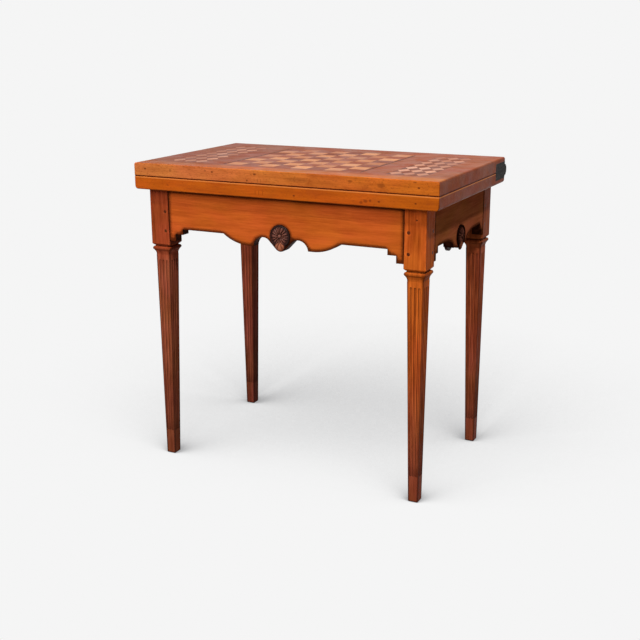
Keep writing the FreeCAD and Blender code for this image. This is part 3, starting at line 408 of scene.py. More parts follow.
TOP_LEFT = shade(128, 60, 28)
TOP_RIGHT = shade(150, 74, 38)
TOP_FRONT_LEFT = shade(152, 72, 16)
TOP_FRONT_RIGHT = shade(182, 98, 40)
FRONT_STRIP = 0.03
FRONT_STRIP_FADE = 0.062
FRONT_BRIGHT_X = 0.1
UPPER_EDGE_LEFT = shade(198, 113, 56)
UPPER_EDGE_RIGHT = shade(192, 96, 27)
UPPER_END = shade(136, 58, 18)
PLANK_JOINT_Y = -0.059
PLANK_JOINT_HALF = 0.0006
LOWER_EDGE = shade(182, 85, 14)
LOWER_END = shade(132, 54, 12)
ARRIS_HIGHLIGHT = shade(220, 134, 66)


def faded_top(shader):
    """The brown of the top, lighter to the right."""
    return shader.blend(shader.spread(shader.x, UPPER[0].x, UPPER[1].x), TOP_LEFT, TOP_RIGHT)


def upper_leaf_colour(shader):
    """Faded brown on top with an orange front strip, an orange front edge and redder ends."""
    strip = shader.spread(shader.y, UPPER[0].y + FRONT_STRIP_FADE, UPPER[0].y + FRONT_STRIP)
    bright = shader.spread(shader.x, UPPER[0].x, FRONT_BRIGHT_X)
    front = shader.blend(bright, TOP_FRONT_LEFT, TOP_FRONT_RIGHT)
    ground = shader.blend(strip, faded_top(shader), front)
    across = shader.spread(shader.x, UPPER[0].x, UPPER[1].x)
    edge = shader.blend(across, UPPER_EDGE_LEFT, UPPER_EDGE_RIGHT)
    colour = shader.blend(shader.turned_to("Y", -1.0), ground, edge)
    return shader.blend(shader.turned_to("X", 0), colour, UPPER_END)


def paint_upper_leaf(shader, base):
    """Marks on the front edge, a plank joint on the ends and dirt at the joint of the leaves."""
    base = knocked_front(shader, base, 0.6, UPPER_MARKS)
    joint = shader.within(shader.y, PLANK_JOINT_Y - PLANK_JOINT_HALF, PLANK_JOINT_Y + PLANK_JOINT_HALF,
                          PLANK_JOINT_HALF)
    joint = shader.product(shader.turned_to("X", 0), joint)
    base = shader.blend(shader.product(joint, 0.7), base, MARK)
    return joint_line(shader, base, UPPER[0].z + 0.003, UPPER[0].z + 0.001)


def lower_leaf_colour(shader):
    return shader.blend(shader.turned_to("X", 0), LOWER_EDGE, LOWER_END)


def paint_lower_leaf(shader, base):
    """Marks on the front edge, and a painted highlight line along the arris under the dirt at
    the joint of the leaves.
    """
    top = LOWER[1].z
    base = knocked_front(shader, base, 0.35, LOWER_MARKS)
    # A painted highlight on the lit arris below the joint.
    rubbed = shader.within(shader.z, top - 0.0034, top - 0.0014, 0.0008)
    base = shader.blend(shader.product(rubbed, 0.7), base, ARRIS_HIGHLIGHT)
    return joint_line(shader, base, top - 0.0012, top - 0.0002)


def underside(shader):
    """1 on the lower part of the lower leaf, where its edges are painted dark as shade."""
    middle = (LOWER[0].z + LOWER[1].z) / 2
    return shader.spread(shader.z, middle, middle - 0.004)


# Aprons and legs.

SEAM_X = LEG[0].x
SEAM_LOW = 0.57
SEAM_HIGH = 0.62
SEAM_DARK = shade(54, 16, 6)
SAWN_EDGE_SHADE = shade(50, 20, 10)
CARVING_STAIN = shade(76, 30, 10)
FLUTE_DARK = shade(58, 22, 12)
BLOCK_FOOT = 0.56


def seams(shader, base):
    """The dark joint between a block and its rail, darkest at the top."""
    outward = shader.math("ABSOLUTE", shader.x)
    from_seam = shader.math("ABSOLUTE", shader.math("SUBTRACT", outward, SEAM_X))
    line = shader.spread(from_seam, 0.0021, 0.0007)
    long = shader.spread(shader.z, SEAM_LOW, SEAM_HIGH, 0.6, 1.0)
    return shader.blend(shader.product(line, long, 0.9), base, SEAM_DARK)


def around_rosette(shader, base):
    """Dark old stain on the tongue about the carving."""
    up = ROSETTE[1].z - ROSETTE_RADIUS
    near = shader.distance((0.001, 0, up - 0.002), (ROSETTE_RADIUS + 0.003, 0, ROSETTE_RADIUS + 0.004))
    tongue = shader.distance((0.012, 0, up - 0.016), (0.031, 0, 0.022))
    stain = shader.spread(shader.math("MINIMUM", near, tongue), 1.15, 0.85)
    return shader.blend(shader.product(stain, 0.85), base, CARVING_STAIN)


def shaded_sawn_edge(shader, base, axis):
    """The sawn edge below a rail that faces along the axis, painted dark as shade."""
    flat = shader.math("ABSOLUTE", shader.facing_along(axis))
    return shader.blend(shader.spread(flat, 0.7, 0.3, 0.0, 0.85), base, SAWN_EDGE_SHADE)


def paint_front_apron(shader, base):
    return shaded_sawn_edge(shader, seams(shader, around_rosette(shader, base)), "Y")


def paint_side_apron(shader, base):
    return shaded_sawn_edge(shader, base, "X")


def leg_colour(block, middle, foot):
    """Colour of a leg from its block down its shaft to a darker foot."""
    def draw(shader):
        upper = shader.blend(shader.spread(shader.z, 0.5, BLOCK_FOOT), middle, block)
        return shader.blend(shader.spread(shader.z, 0.46, 0.06), upper, foot)
    return draw


def shaft(shader):
    """Painted shade on the edges of the shaft of a leg, and none on its block."""
    return shader.spread(shader.z, BLOCK_FOOT, 0.545, 0.0, 0.8)


def paint_flutes(shader, base):
    """Painted shade, with dirt, on the walls of the flutes, and the plain foot below them darker."""
    x, y, z = (shader.math("ABSOLUTE", part) for part in shader.facing)
    wall = shader.spread(shader.math("MAXIMUM", x, y), 0.998, 0.95)
    upright = shader.product(shader.spread(z, 0.16, 0.08), shader.spread(shader.z, 0.55, 0.54))
    base = shader.blend(shader.product(wall, upright, 0.75), base, FLUTE_DARK)
    return shader.blend(shader.spread(shader.z, 0.1, 0.07, 0.0, 0.35), base, FLUTE_DARK)


def paint_front_leg(shader, base):
    return seams(shader, paint_flutes(shader, base))


def leg_wood(name, block, middle, foot, seed, paint=paint_flutes):
    return wood(name, "Z", leg_colour(block, middle, foot), seed, contrast=0.5, polish=DULL,
                roughness=0.38, paint=paint, edge=0.006, edge_shade=shaft, hollow=0.0045)


top_wood = wood("top_wood", "X", upper_leaf_colour, 3.0, contrast=0.24, paint=paint_upper_leaf)
lower_wood = wood("lower_wood", "X", lower_leaf_colour, 8.0, contrast=0.22, paint=paint_lower_leaf,
                  edge_shade=underside)
# All edges of the aprons are painted dark as shade.
apron_wood = wood("apron_wood", "X", shade(186, 86, 31), 14.0, contrast=0.26, polish=DULL,
                  paint=paint_front_apron, edge=0.012, edge_shade=1.0)
side_apron_wood = wood("side_apron_wood", "Y", shade(150, 82, 48), 19.0, contrast=0.28, polish=0.0,
                       paint=paint_side_apron, edge=0.012, edge_shade=1.0)
left_leg_wood = leg_wood("left_leg_wood", shade(142, 62, 30), shade(154, 80, 52),
                         shade(138, 72, 48), 25.0, paint_front_leg)
right_leg_wood = leg_wood("right_leg_wood", shade(178, 82, 28), shade(196, 92, 35),
                          shade(140, 68, 42), 31.0, paint_front_leg)
# The shafts of the back legs are painted lighter than their blocks, as light where the top's shadow
# falls on them.
back_left_leg_wood = leg_wood("back_left_leg_wood", shade(124, 56, 28), shade(144, 68, 46),
                              shade(148, 76, 56), 37.0)
back_right_leg_wood = leg_wood("back_right_leg_wood", shade(140, 66, 36), shade(182, 86, 54),
                               shade(136, 68, 44), 41.0)
rail_wood = wood("rail_wood", "X", shade(132, 78, 42), 43.0, polish=DULL, roughness=0.68)
block_wood = wood("block_wood", "X", shade(142, 90, 52), 47.0, polish=DULL, roughness=0.7)
carved_wood = wood("carved_wood", "Z", shade(62, 28, 20), 53.0, contrast=0.4, roughness=0.4, fine=2.0)
peg_wood = wood("peg_wood", "Y", shade(84, 38, 14), 59.0, contrast=0.4, fine=3.0)
string_wood = wood("string_wood", "Y", shade(42, 15, 8), 60.0, contrast=0.3, fine=3.0)


# Inlaid squares and lozenges.

LIGHT_SQUARE = (shade(212, 142, 94), shade(172, 102, 64))
DARK_SQUARE = (shade(148, 72, 40), shade(120, 54, 28))
LIGHT_LOZENGE = (shade(218, 156, 126), shade(170, 104, 74))
DARK_LOZENGE = (shade(124, 58, 26), shade(104, 46, 20))
INLAY_LINE = shade(64, 26, 14)
INLAY_FINE = 1.4


def cells_from(shader, low, wide, long):
    """How many cells a place is from the low corner, across and back."""
    across = shader.math("DIVIDE", shader.math("SUBTRACT", shader.x, low.x), wide)
    back = shader.math("DIVIDE", shader.math("SUBTRACT", shader.y, low.y), long)
    return across, back


def square_cells(shader):
    return cells_from(shader, BOARD[0], SQUARE, SQUARE)


def lozenge_cells(shader):
    """Cells between slanting lines, which the sides of the lozenges are."""
    across, back = cells_from(shader, LOZENGES[0], LOZENGE_WIDE, LOZENGE_LONG)
    rising = shader.math("ADD", shader.math("ADD", across, back), 0.5)
    falling = shader.math("ADD", shader.math("SUBTRACT", across, back), 0.5)
    return rising, falling


def separate_pieces(shader, first, second):
    """A number for each inlaid piece, and a dark line where pieces meet."""
    cell = {0: shader.math("FLOOR", first), 1: shader.math("FLOOR", second)}
    corner = shader.add("ShaderNodeCombineXYZ", cell).outputs[0]
    numbers = shader.add("ShaderNodeTexWhiteNoise", {"Vector": corner}, noise_dimensions="3D")
    near = []
    for value in (first, second):
        part = shader.math("FRACT", value)
        near.append(shader.math("MINIMUM", part, shader.math("SUBTRACT", 1.0, part)))
    line = shader.spread(shader.math("MINIMUM", *near), 0.025, 0.008)
    return numbers.outputs[0], line


def worn_squares(shader, colour):
    """Squares rubbed down to the colour of the top in patches."""
    rubbed = shader.noise(shader.place, scale=14.0, detail=3.0, roughness=0.6)
    return shader.blend(shader.spread(rubbed, 0.45, 0.75, 0.0, 0.35), colour, TOP_RIGHT)


def worn_lozenges(shader, colour):
    """Lozenges that fade into the top at the left and at the back."""
    at_left = shader.spread(shader.x, -0.2, -0.34, 0.25, 0.6)
    left = shader.product(at_left, shader.spread(shader.x, 0.0, -0.1))
    back = shader.spread(shader.y, -0.1, 0.16, 0.0, 0.5)
    return shader.blend(shader.math("MAXIMUM", left, back), colour, faded_top(shader))


def inlay(name, grain, tones, seed, cells, wear):
    """Thin sawn pieces, each from another bit of wood."""
    shader = Shader(name)
    tone, pores, height = wood_tone(shader, grain, seed, INLAY_FINE)
    piece, line = separate_pieces(shader, *cells(shader))
    light = shader.spread(tone, *MIDDLE_TONES, 0.82, 1.18)
    colour = shader.times(shader.blend(piece, *tones), shader.tint(light, light, light))
    colour = shader.blend(shader.product(pores, 0.2), colour, DIRT_AND_SHADE)
    colour = shader.blend(shader.product(line, 0.6), colour, INLAY_LINE)
    return shader.finish(Base_Color=wear(shader, colour), Roughness=handled(shader, ROUGHNESS),
                         Normal=dented(shader, height), Specular_IOR_Level=POLISH)


square_light = inlay("square_light", "X", LIGHT_SQUARE, 61.0, square_cells, worn_squares)
square_dark = inlay("square_dark", "X", DARK_SQUARE, 67.0, square_cells, worn_squares)
lozenge_light = inlay("lozenge_light", "Y", LIGHT_LOZENGE, 71.0, lozenge_cells, worn_lozenges)
lozenge_dark = inlay("lozenge_dark", "Y", DARK_LOZENGE, 73.0, lozenge_cells, worn_lozenges)


# Hinge iron and baize.

HINGE_PIVOT = (HINGE_PINS[0] + HINGE_PINS[1]) / 2
SCREWS_FROM_PIVOT = (0.03, 0.058)
SCREW_RISES = ((UPPER[0].z + UPPER_PLATE[1].z) / 2, (LOWER_PLATE[0].z + LOWER[1].z) / 2)
SCREW_PLACES = [(HINGE_PIVOT.y - far, rise) for far in SCREWS_FROM_PIVOT for rise in SCREW_RISES]
SCREW_RADIUS = 0.0037
IRON_BLACK = shade(30, 27, 26)
IRON_BRIGHT = shade(66, 60, 56)
RUST = shade(58, 32, 22)
SCREW_GAP_SHADE = shade(8, 6, 6)


def screw_cut(shader, y, z, lean):
    """1 in the gap round a screw's head and in its slot, 0 elsewhere."""
    far = shader.distance((0, y, z), (0, SCREW_RADIUS, SCREW_RADIUS))
    ring = shader.within(far, 0.9, 1.0, 0.05)
    aside = shader.total((shader.math("SUBTRACT", shader.y, y), math.cos(lean)),
                         (shader.math("SUBTRACT", shader.z, z), math.sin(lean)))
    slot = shader.spread(shader.math("ABSOLUTE", aside), 0.00055, 0.0004)
    inside = shader.spread(far, 0.95, 0.88)
    return shader.math("MAXIMUM", ring, shader.product(slot, inside))


def make_iron():
    """Blackened wrought iron, rubbed bright in places, with slotted screw heads let in flush, their
    gaps and slots painted dark as shade.
    """
    shader = Shader("iron")
    patches = shader.noise(shader.place, scale=160.0, detail=5.0, roughness=0.65)
    colour = shader.blend(shader.spread(patches, 0.54, 0.72), IRON_BLACK, IRON_BRIGHT)
    rust = shader.noise(shader.place, scale=70.0, detail=4.0, roughness=0.6)
    colour = shader.blend(shader.product(shader.spread(rust, 0.52, 0.7), 0.5), colour, RUST)
    cuts = []
    for number, (y, z) in enumerate(SCREW_PLACES):
        cuts.append(screw_cut(shader, y, z, lean=0.4 + 0.9 * number))
    gap = shader.product(shader.greatest(*cuts), shader.turned_to("X", 0))
    colour = shader.blend(shader.product(gap, 0.8), colour, SCREW_GAP_SHADE)
    normal = shader.bump(patches, strength=0.5, distance=0.0005, normal=shader.softened(0.0009))
    raised = shader.math("SUBTRACT", 1.0, gap)
    normal = shader.bump(raised, strength=0.8, distance=0.0004, normal=normal)
    rough = shader.spread(patches, 0.3, 0.8, 0.66, 0.42)
    return shader.finish(Base_Color=colour, Metallic=0.1, Roughness=rough, Normal=normal,
                         Specular_IOR_Level=0.05)


def make_baize_cloth():
    """Green felted wool, faded in patches."""
    shader = Shader("baize")
    worn = shader.noise(shader.place, scale=6.0, detail=4.0, roughness=0.6)
    fluff = shader.noise(shader.place, scale=900.0, detail=3.0, roughness=0.7)
    greens = [(0.3, shade(22, 62, 38)), (0.52, shade(38, 88, 54)), (0.72, shade(66, 112, 72))]
    colour = shader.ramp(shader.total((worn, 0.6), (fluff, 0.4)), greens)
    normal = shader.bump(fluff, strength=0.6, distance=0.0006)
    return shader.finish(Base_Color=colour, Roughness=0.95, Normal=normal, Sheen_Weight=0.35,
                         Sheen_Roughness=0.5, Specular_IOR_Level=0.1)


iron = make_iron()
baize_cloth = make_baize_cloth()

NODE_MATERIALS = {
    top_wood: ["upper_leaf_panel"],
    lower_wood: ["lower_leaf_panel"],
    apron_wood: ["front_apron"],
    side_apron_wood: ["left_apron", "right_apron"],
    left_leg_wood: ["leg_front_left"],
    right_leg_wood: ["leg_front_right"],
    back_left_leg_wood: ["leg_back_left"],
    back_right_leg_wood: ["leg_back_right"],
    rail_wood: ["inner_back_rail", "fly_rail_fixed", "fly_rail"],
    block_wood: ["corner_blocks", "top_blocks"],
    carved_wood: ["rosette_front", "rosette_left", "rosette_right", "rosette_backing_left",
                  "rosette_backing_right"],
    peg_wood: ["pegs_front_left", "pegs_front_right", "pegs_back_right", "pegs_swing_leg",
               "corner_plug"],
    string_wood: ["board_stringing"],
    square_light: ["chess_squares_light"],
    square_dark: ["chess_squares_dark"],
    lozenge_light: ["lozenges_light_left", "lozenges_light_right"],
    lozenge_dark: ["lozenges_dark_left", "lozenges_dark_right"],
    iron: ["hinge_arm_upper_left", "hinge_arm_upper_right", "hinge_arm_lower_left",
           "hinge_arm_lower_right", "hinge_rivets", "knuckle_pin"],
    baize_cloth: ["upper_baize", "lower_baize"],
}


def dress(piece, material):
    piece.data.materials.clear()
    piece.data.materials.append(material)


for material, names in NODE_MATERIALS.items():
    for name in names:
        dress(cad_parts[name], material)


def mesh_from(shape, name):
    mesh = bpy.data.meshes.new(name)
    shape.to_mesh(mesh)
    shape.free()
    return mesh


def add_piece(name, mesh, material, body):
    piece = bpy.data.objects.new(name, mesh)
    bpy.context.scene.collection.objects.link(piece)
    dress(piece, material)
    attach(piece, body)
    return piece


# Carved rosettes. Shares are of the radius, and heights are in metres.

PETALS = 16
SPOKES = 192
RINGS = 22
PETALS_FROM = 0.15
HUB_TO = 0.17
BEAD_FROM = 0.87
RIM_FROM = 0.985
CREST_HIGH = 0.0056
SHELL_INSET = 0.0008


def smooth(value, low, high):
    share = min(max((value - low) / (high - low), 0.0), 1.0)
    return share * share * (3 - 2 * share)


def petal_height(share, angle, wobble):
    """Height of the rosette at a share of its radius and an angle from its right. Its bead opens
    at the bottom, where the petals reach further out."""
    from_bottom = abs((angle + math.pi / 2 + math.pi) % (2 * math.pi) - math.pi)
    closed = smooth(from_bottom, 0.45, 0.8)
    reach = 0.86 + 0.12 * (1 - closed)
    turned = angle + 0.05 * math.sin(3 * angle + wobble) + 0.03 * math.sin(7 * angle + 2 * wobble)
    ridge = abs(math.cos(PETALS * turned / 2)) ** 0.8
    inner = min(max((share - PETALS_FROM) / (reach - PETALS_FROM), 0.0), 1.0)
    swell = math.sin(math.pi * inner ** 0.75) ** 0.6 if 0 < inner < 1 else 0.0
    height = 0.0012 + swell * (0.0008 + 0.0036 * ridge)
    if share > BEAD_FROM:
        bead = math.sin(math.pi * min((share - BEAD_FROM) / 0.13, 1.0)) ** 0.7
        height = max(height, closed * (0.0014 + 0.0034 * bead))
    if share < HUB_TO:
        height = max(height, 0.0034 + 0.003 * math.sqrt(1 - (share / HUB_TO) ** 2))
    return height * (1 - smooth(share, RIM_FROM, 1.0)) + 0.0002


def shell_height(share, angle, wobble):
    """Height of the small shell below the rosette, its ribs running down from its top."""
    across = share * math.cos(angle)
    down = 0.82 - share * math.sin(angle)
    rib = abs(math.cos(3.2 * math.atan2(across, max(down, 0.05)) * 1.35 + 0.15 * wobble)) ** 0.7
    dome = math.sqrt(max(1 - share * share, 0.0))
    return 0.0008 + dome * (0.0026 + 0.0026 * rib)


def relief_rings(shape, middle_up, radius, height_at, wobble, tone):
    """Rings of points over a round relief and a last one at its back, in places across, up and
    out. Each point keeps how high it stands, which paints the crests lighter as rubbing and
    painted highlight and the rim darker as painted shade, and the tone of its wood."""
    crest_light = shape.verts.layers.float["crest_light"]
    shell = shape.verts.layers.float["shell"]
    rings = []
    for ring in range(RINGS + 1):
        share = ring / RINGS
        rim_shade = 1.0 - 0.75 * smooth(share, 0.84, 0.95)
        row = []
        for spoke in range(SPOKES if ring else 1):
            angle = 2 * math.pi * spoke / SPOKES
            high = height_at(share, angle, wobble)
            side = share * radius * math.cos(angle)
            vertex = shape.verts.new((side, middle_up + share * radius * math.sin(angle), high))
            vertex[crest_light] = min(high / CREST_HIGH, 1.0) * rim_shade
            vertex[shell] = tone
            row.append(vertex)
        rings.append(row)
    back = []
    for vertex in rings[-1]:
        low = shape.verts.new((vertex.co.x, vertex.co.y, 0.0))
        low[shell] = tone
        back.append(low)
    rings.append(back)
    return rings


def close_relief(shape, rings):
    """The faces of a round relief, its side and its flat back."""
    middle = rings[0][0]
    for spoke in range(SPOKES):
        other = (spoke + 1) % SPOKES
        shape.faces.new((middle, rings[1][spoke], rings[1][other]))
        for inner, outer in zip(rings[1:], rings[2:]):
            shape.faces.new((inner[spoke], outer[spoke], outer[other], inner[other]))
    shape.faces.new(rings[-1][::-1])


CARVING_DARK = [(0.3, shade(26, 10, 7)), (0.66, shade(64, 28, 20)), (1.0, shade(118, 70, 56))]
CARVING_RED = [(0.3, shade(46, 18, 10)), (0.66, shade(118, 58, 36)), (1.0, shade(168, 100, 70))]


def make_carved_wood(name, depth):
    """Dark waxed carving with crests rubbed and painted with highlight, a redder shell, dirt and
    painted shade in its hollows, and how much painted shade darkens all of it.
    """
    shader = Shader(name)
    tone, _, height = wood_tone(shader, "Z", 53.0, 2.0)
    crest_light = shader.add("ShaderNodeAttribute", attribute_name="crest_light").outputs["Fac"]
    shell = shader.add("ShaderNodeAttribute", attribute_name="shell").outputs["Fac"]
    rubbed = shader.total((crest_light, 0.8), (tone, 0.4))
    colour = shader.blend(shell, shader.ramp(rubbed, CARVING_DARK), shader.ramp(rubbed, CARVING_RED))
    colour = shader.blend(depth, colour, shade(18, 8, 5))
    # Dirt and painted shade darken the hollows of the carving.
    dirt = shader.spread(shader.cavity(0.005), 0.85, 0.3)
    colour = shader.blend(shader.product(dirt, 0.7), colour, DIRT_AND_SHADE)
    normal = shader.bump(height, strength=0.3, distance=0.0002)
    rough = shader.spread(tone, 0.35, 0.65, 0.3, 0.5)
    return shader.finish(Base_Color=colour, Roughness=rough, Normal=normal,
                         Specular_IOR_Level=0.0 if depth else 0.12)


def add_rosette(tag, across, out, wobble, carving):
    """A carved rosette with its shell, in place of the plain one of the node."""
    node = "rosette_" + tag
    low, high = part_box(node)
    outward_axis = 1 if abs(out.y) > 0.5 else 0
    origin = (low + high) / 2
    origin[outward_axis] = high[outward_axis] if out[outward_axis] < 0 else low[outward_axis]
    origin.z = high.z - ROSETTE_RADIUS
    shell_up = low.z + SHELL_RADIUS - origin.z - SHELL_INSET
    shape = bmesh.new()
    shape.verts.layers.float.new("crest_light")
    shape.verts.layers.float.new("shell")
    close_relief(shape, relief_rings(shape, 0.0, ROSETTE_RADIUS, petal_height, wobble, 0.0))
    close_relief(shape, relief_rings(shape, shell_up, SHELL_RADIUS - SHELL_INSET, shell_height,
                                     wobble, 1.0))
    for vertex in shape.verts:
        side, up, high_out = vertex.co
        vertex.co = origin + across * side + Vector((0, 0, up)) + out * high_out
    bmesh.ops.recalc_face_normals(shape, faces=shape.faces)
    mesh = mesh_from(shape, node + "_carving")
    mesh.polygons.foreach_set("use_smooth", [True] * len(mesh.polygons))
    piece = add_piece(node + "_carving", mesh, carving, "table_frame")
    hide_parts(node)


carving = make_carved_wood("carving", 0.0)
# The side carvings are painted darker all over, as shade.
shaded_side_carving = make_carved_wood("shaded_side_carving", 0.35)
add_rosette("front", Vector((1, 0, 0)), Vector((0, -1, 0)), 0.4, carving)
add_rosette("right", Vector((0, 1, 0)), Vector((1, 0, 0)), 1.7, shaded_side_carving)
add_rosette("left", Vector((0, -1, 0)), Vector((-1, 0, 0)), 2.9, shaded_side_carving)


# Laid cloth of the two playing faces.

CLOTH_ROWS = 40
CLOTH_COLUMNS = 70
CUT_EDGE = 0.72
THINNEST = 0.88
WAVE_SHARE = 0.12


def cloth_depth(x, y, thick, at_edge):
    """How thick the cloth is at a place: faint waves, and less at its cut edge."""
    wave = 0.5 + 0.25 * math.sin(31 * x + 13 * y) + 0.25 * math.sin(47 * y - 19 * x)
    return thick * CUT_EDGE if at_edge else thick * (THINNEST + WAVE_SHARE * wave)


def cloth_side(shape, low, high, faces_up, free):
    """Rows of points over the free side of a cloth, or over its glued side."""
    rows = []
    for row in range(CLOTH_ROWS + 1):
        line = []
        for column in range(CLOTH_COLUMNS + 1):
            x = low.x + (high.x - low.x) * column / CLOTH_COLUMNS
            y = low.y + (high.y - low.y) * row / CLOTH_ROWS
            at_edge = row in (0, CLOTH_ROWS) or column in (0, CLOTH_COLUMNS)
            depth = cloth_depth(x, y, high.z - low.z, at_edge) if free else 0.0
            line.append(shape.verts.new((x, y, low.z + depth if faces_up else high.z - depth)))
        rows.append(line)
    return rows


def close_cloth(shape, glued, free):
    """The faces of both sides of a cloth, and of the cut edge between them."""
    for rows in (glued, free):
        for near, far in zip(rows, rows[1:]):
            for column in range(CLOTH_COLUMNS):
                shape.faces.new((near[column], near[column + 1], far[column + 1], far[column]))
    rim = [(0, column) for column in range(CLOTH_COLUMNS)]
    rim += [(row, CLOTH_COLUMNS) for row in range(CLOTH_ROWS)]
    rim += [(CLOTH_ROWS, column) for column in range(CLOTH_COLUMNS, 0, -1)]
    rim += [(row, 0) for row in range(CLOTH_ROWS, 0, -1)]
    for (row, column), (next_row, next_column) in zip(rim, rim[1:] + rim[:1]):
        shape.faces.new((glued[row][column], glued[next_row][next_column],
                         free[next_row][next_column], free[row][column]))


def add_cloth(node, body, faces_up):
    """Glued baize, nearly flat, with faint waves and a soft cut edge."""
    low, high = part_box(node)
    shape = bmesh.new()
    glued = cloth_side(shape, low, high, faces_up, free=False)
    free = cloth_side(shape, low, high, faces_up, free=True)
    close_cloth(shape, glued, free)
    bmesh.ops.recalc_face_normals(shape, faces=shape.faces)
    piece = add_piece(node + "_cloth", mesh_from(shape, node + "_cloth"), baize_cloth, body)
    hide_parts(node)


add_cloth("upper_baize", "upper_leaf", faces_up=False)
add_cloth("lower_baize", "table_frame", faces_up=True)


# Floor, light and camera.

FLOOR_HALF = 60.0
FLOOR_BELOW = 0.0005
BACKGROUND = shade(245, 245, 245)
FLOOR_SHADOW = shade(172, 172, 173)
SHADOW_REACH = 1.6
SHADOW_DARK = 0.42
SHADOW_OPEN = 0.93
SHADOW_LEANS = ((-0.25, -0.95, 0.14), (0.5, -0.62, 0.6))
FLOOR_LOW = shade(136, 136, 136)
FLOOR_HIGH = shade(142, 142, 142)
WHITE = (1.0, 1.0, 1.0, 1.0)
SKY_STRENGTH = 0.18
COLUMN_RISES = (22, 30, 38, 46, 54)
COLUMN_ACROSS = -0.33
COLUMN_BACK = -0.94
COLUMN_STRENGTH = 0.52
COLUMN_ANGLE = 9.0
SIDE_LIGHT = (0.38, -0.334, 0.87)
SIDE_STRENGTH = 1.9
SIDE_ANGLE = 3.0


def open_floor(shader):
    """1 on the open floor and 0 in the painted shadow, which falls to the back."""
    shares = []
    for lean in SHADOW_LEANS:
        normal = shader.add("ShaderNodeCombineXYZ", dict(enumerate(lean))).outputs[0]
        inputs = {"Distance": SHADOW_REACH, "Normal": normal}
        shares.append(shader.add("ShaderNodeAmbientOcclusion", inputs, samples=24).outputs["AO"])
    return shader.spread(shader.product(*shares), SHADOW_DARK, SHADOW_OPEN)


def make_floor():
    """A pale floor with the soft shadow painted on it faintly, from how open each place is, as on a
    bright studio sweep.
    """
    shape = bmesh.new()
    bmesh.ops.create_grid(shape, x_segments=1, y_segments=1, size=FLOOR_HALF)
    floor = bpy.data.objects.new("floor", mesh_from(shape, "floor"))
    floor.location.z = -FLOOR_BELOW
    bpy.context.scene.collection.objects.link(floor)
    shader = Shader("floor")
    grey = shader.blend(shader.noise(shader.place, scale=40.0, detail=3.0), FLOOR_LOW, FLOOR_HIGH)
    bounced = shader.add("ShaderNodeBsdfDiffuse", {"Color": grey}).outputs[0]
    colour = shader.blend(open_floor(shader), FLOOR_SHADOW, BACKGROUND)
    pale = shader.add("ShaderNodeEmission", {"Color": colour, "Strength": 1.0}).outputs[0]
    rays = shader.add("ShaderNodeLightPath").outputs
    seen = shader.greatest(rays["Is Camera Ray"], rays["Is Glossy Ray"], rays["Is Transmission Ray"])
    mixed = shader.add("ShaderNodeMixShader", {0: seen, 1: bounced, 2: pale}).outputs[0]
    dress(floor, shader.end_in(mixed))


def sky(tree, colour, strength):
    """A background of one colour for the world."""
    node = tree.nodes.new("ShaderNodeBackground")
    node.inputs["Color"].default_value = colour
    node.inputs["Strength"].default_value = strength
    return node.outputs[0]


def make_world():
    """Soft white light all round, and the pale backdrop where it is seen."""
    world = bpy.data.worlds.new("studio")
    bpy.context.scene.world = world
    world.use_nodes = True
    tree = world.node_tree
    tree.nodes.clear()
    rays = tree.nodes.new("ShaderNodeLightPath").outputs
    seen = rays["Is Camera Ray"]
    for other in ("Is Glossy Ray", "Is Transmission Ray"):
        either = tree.nodes.new("ShaderNodeMath")
        either.operation = "MAXIMUM"
        tree.links.new(seen, either.inputs[0])
        tree.links.new(rays[other], either.inputs[1])
        seen = either.outputs[0]
    mixed = tree.nodes.new("ShaderNodeMixShader")
    tree.links.new(seen, mixed.inputs[0])
    tree.links.new(sky(tree, WHITE, SKY_STRENGTH), mixed.inputs[1])
    tree.links.new(sky(tree, BACKGROUND, 1.0), mixed.inputs[2])
    tree.links.new(mixed.outputs[0], tree.nodes.new("ShaderNodeOutputWorld").inputs[0])


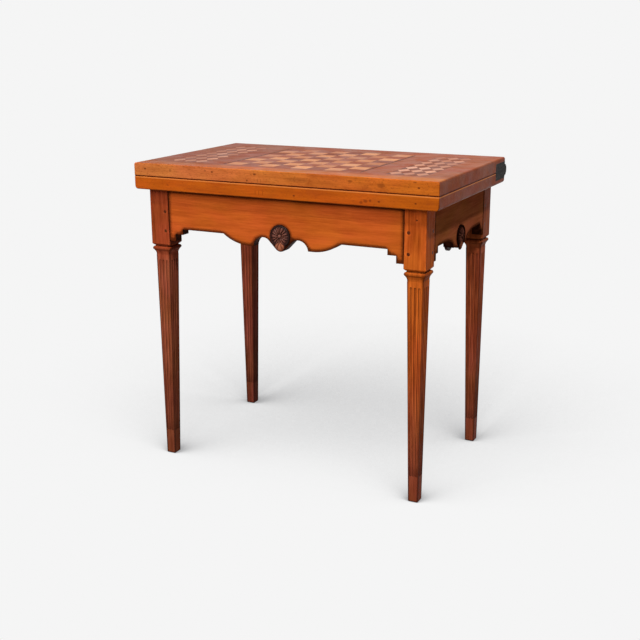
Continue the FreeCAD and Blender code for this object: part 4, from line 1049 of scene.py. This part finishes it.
def make_sun(name, across, back, up, strength, angle):
    """A far light in the direction across, back and up from the table."""
    lamp = bpy.data.lights.new(name, "SUN")
    lamp.energy = strength
    lamp.angle = math.radians(angle)
    holder = bpy.data.objects.new(name, lamp)
    holder.rotation_mode = "QUATERNION"
    holder.rotation_quaternion = Vector((across, back, up)).to_track_quat("Z", "Y")
    bpy.context.scene.collection.objects.link(holder)


def make_lights():
    """A tall soft light at the front left, as a column of small ones, and a smaller light high
    at the front right."""
    for number, rise in enumerate(COLUMN_RISES):
        level = math.cos(math.radians(rise))
        up = math.sin(math.radians(rise))
        make_sun(f"front_light_{number}", COLUMN_ACROSS * level, COLUMN_BACK * level, up,
                 COLUMN_STRENGTH, COLUMN_ANGLE)
    make_sun("side_light", *SIDE_LIGHT, SIDE_STRENGTH, SIDE_ANGLE)


CAMERA_PLACE = Vector((1.132778, -2.312833, 1.077403))
CAMERA_YAW = -0.45951
CAMERA_PITCH = -0.27642
CAMERA_ROLL = -0.00393
SENSOR_WIDTH = 36.0
PHOTO_SIDE = 640
FOCAL_PIXELS = 1036.978


def make_camera():
    """The photograph's own view: from above the front right corner, with hardly any roll."""
    forward = Vector((math.cos(CAMERA_PITCH) * math.sin(CAMERA_YAW),
                      math.cos(CAMERA_PITCH) * math.cos(CAMERA_YAW), math.sin(CAMERA_PITCH)))
    level_right = Vector((math.cos(CAMERA_YAW), -math.sin(CAMERA_YAW), 0.0))
    level_up = level_right.cross(forward)
    right = math.cos(CAMERA_ROLL) * level_right + math.sin(CAMERA_ROLL) * level_up
    up = -math.sin(CAMERA_ROLL) * level_right + math.cos(CAMERA_ROLL) * level_up
    camera = bpy.data.cameras.new("camera")
    camera.sensor_width = SENSOR_WIDTH
    camera.lens = SENSOR_WIDTH * FOCAL_PIXELS / PHOTO_SIDE
    camera.clip_end = 200.0
    holder = bpy.data.objects.new("camera", camera)
    turn = Matrix((right, up, -forward)).transposed().to_4x4()
    holder.matrix_world = Matrix.Translation(CAMERA_PLACE) @ turn
    bpy.context.scene.collection.objects.link(holder)
    bpy.context.scene.camera = holder


make_floor()
make_world()
make_lights()
make_camera()
bpy.context.scene.view_settings.view_transform = "Standard"


bpy.context.view_layer.update()
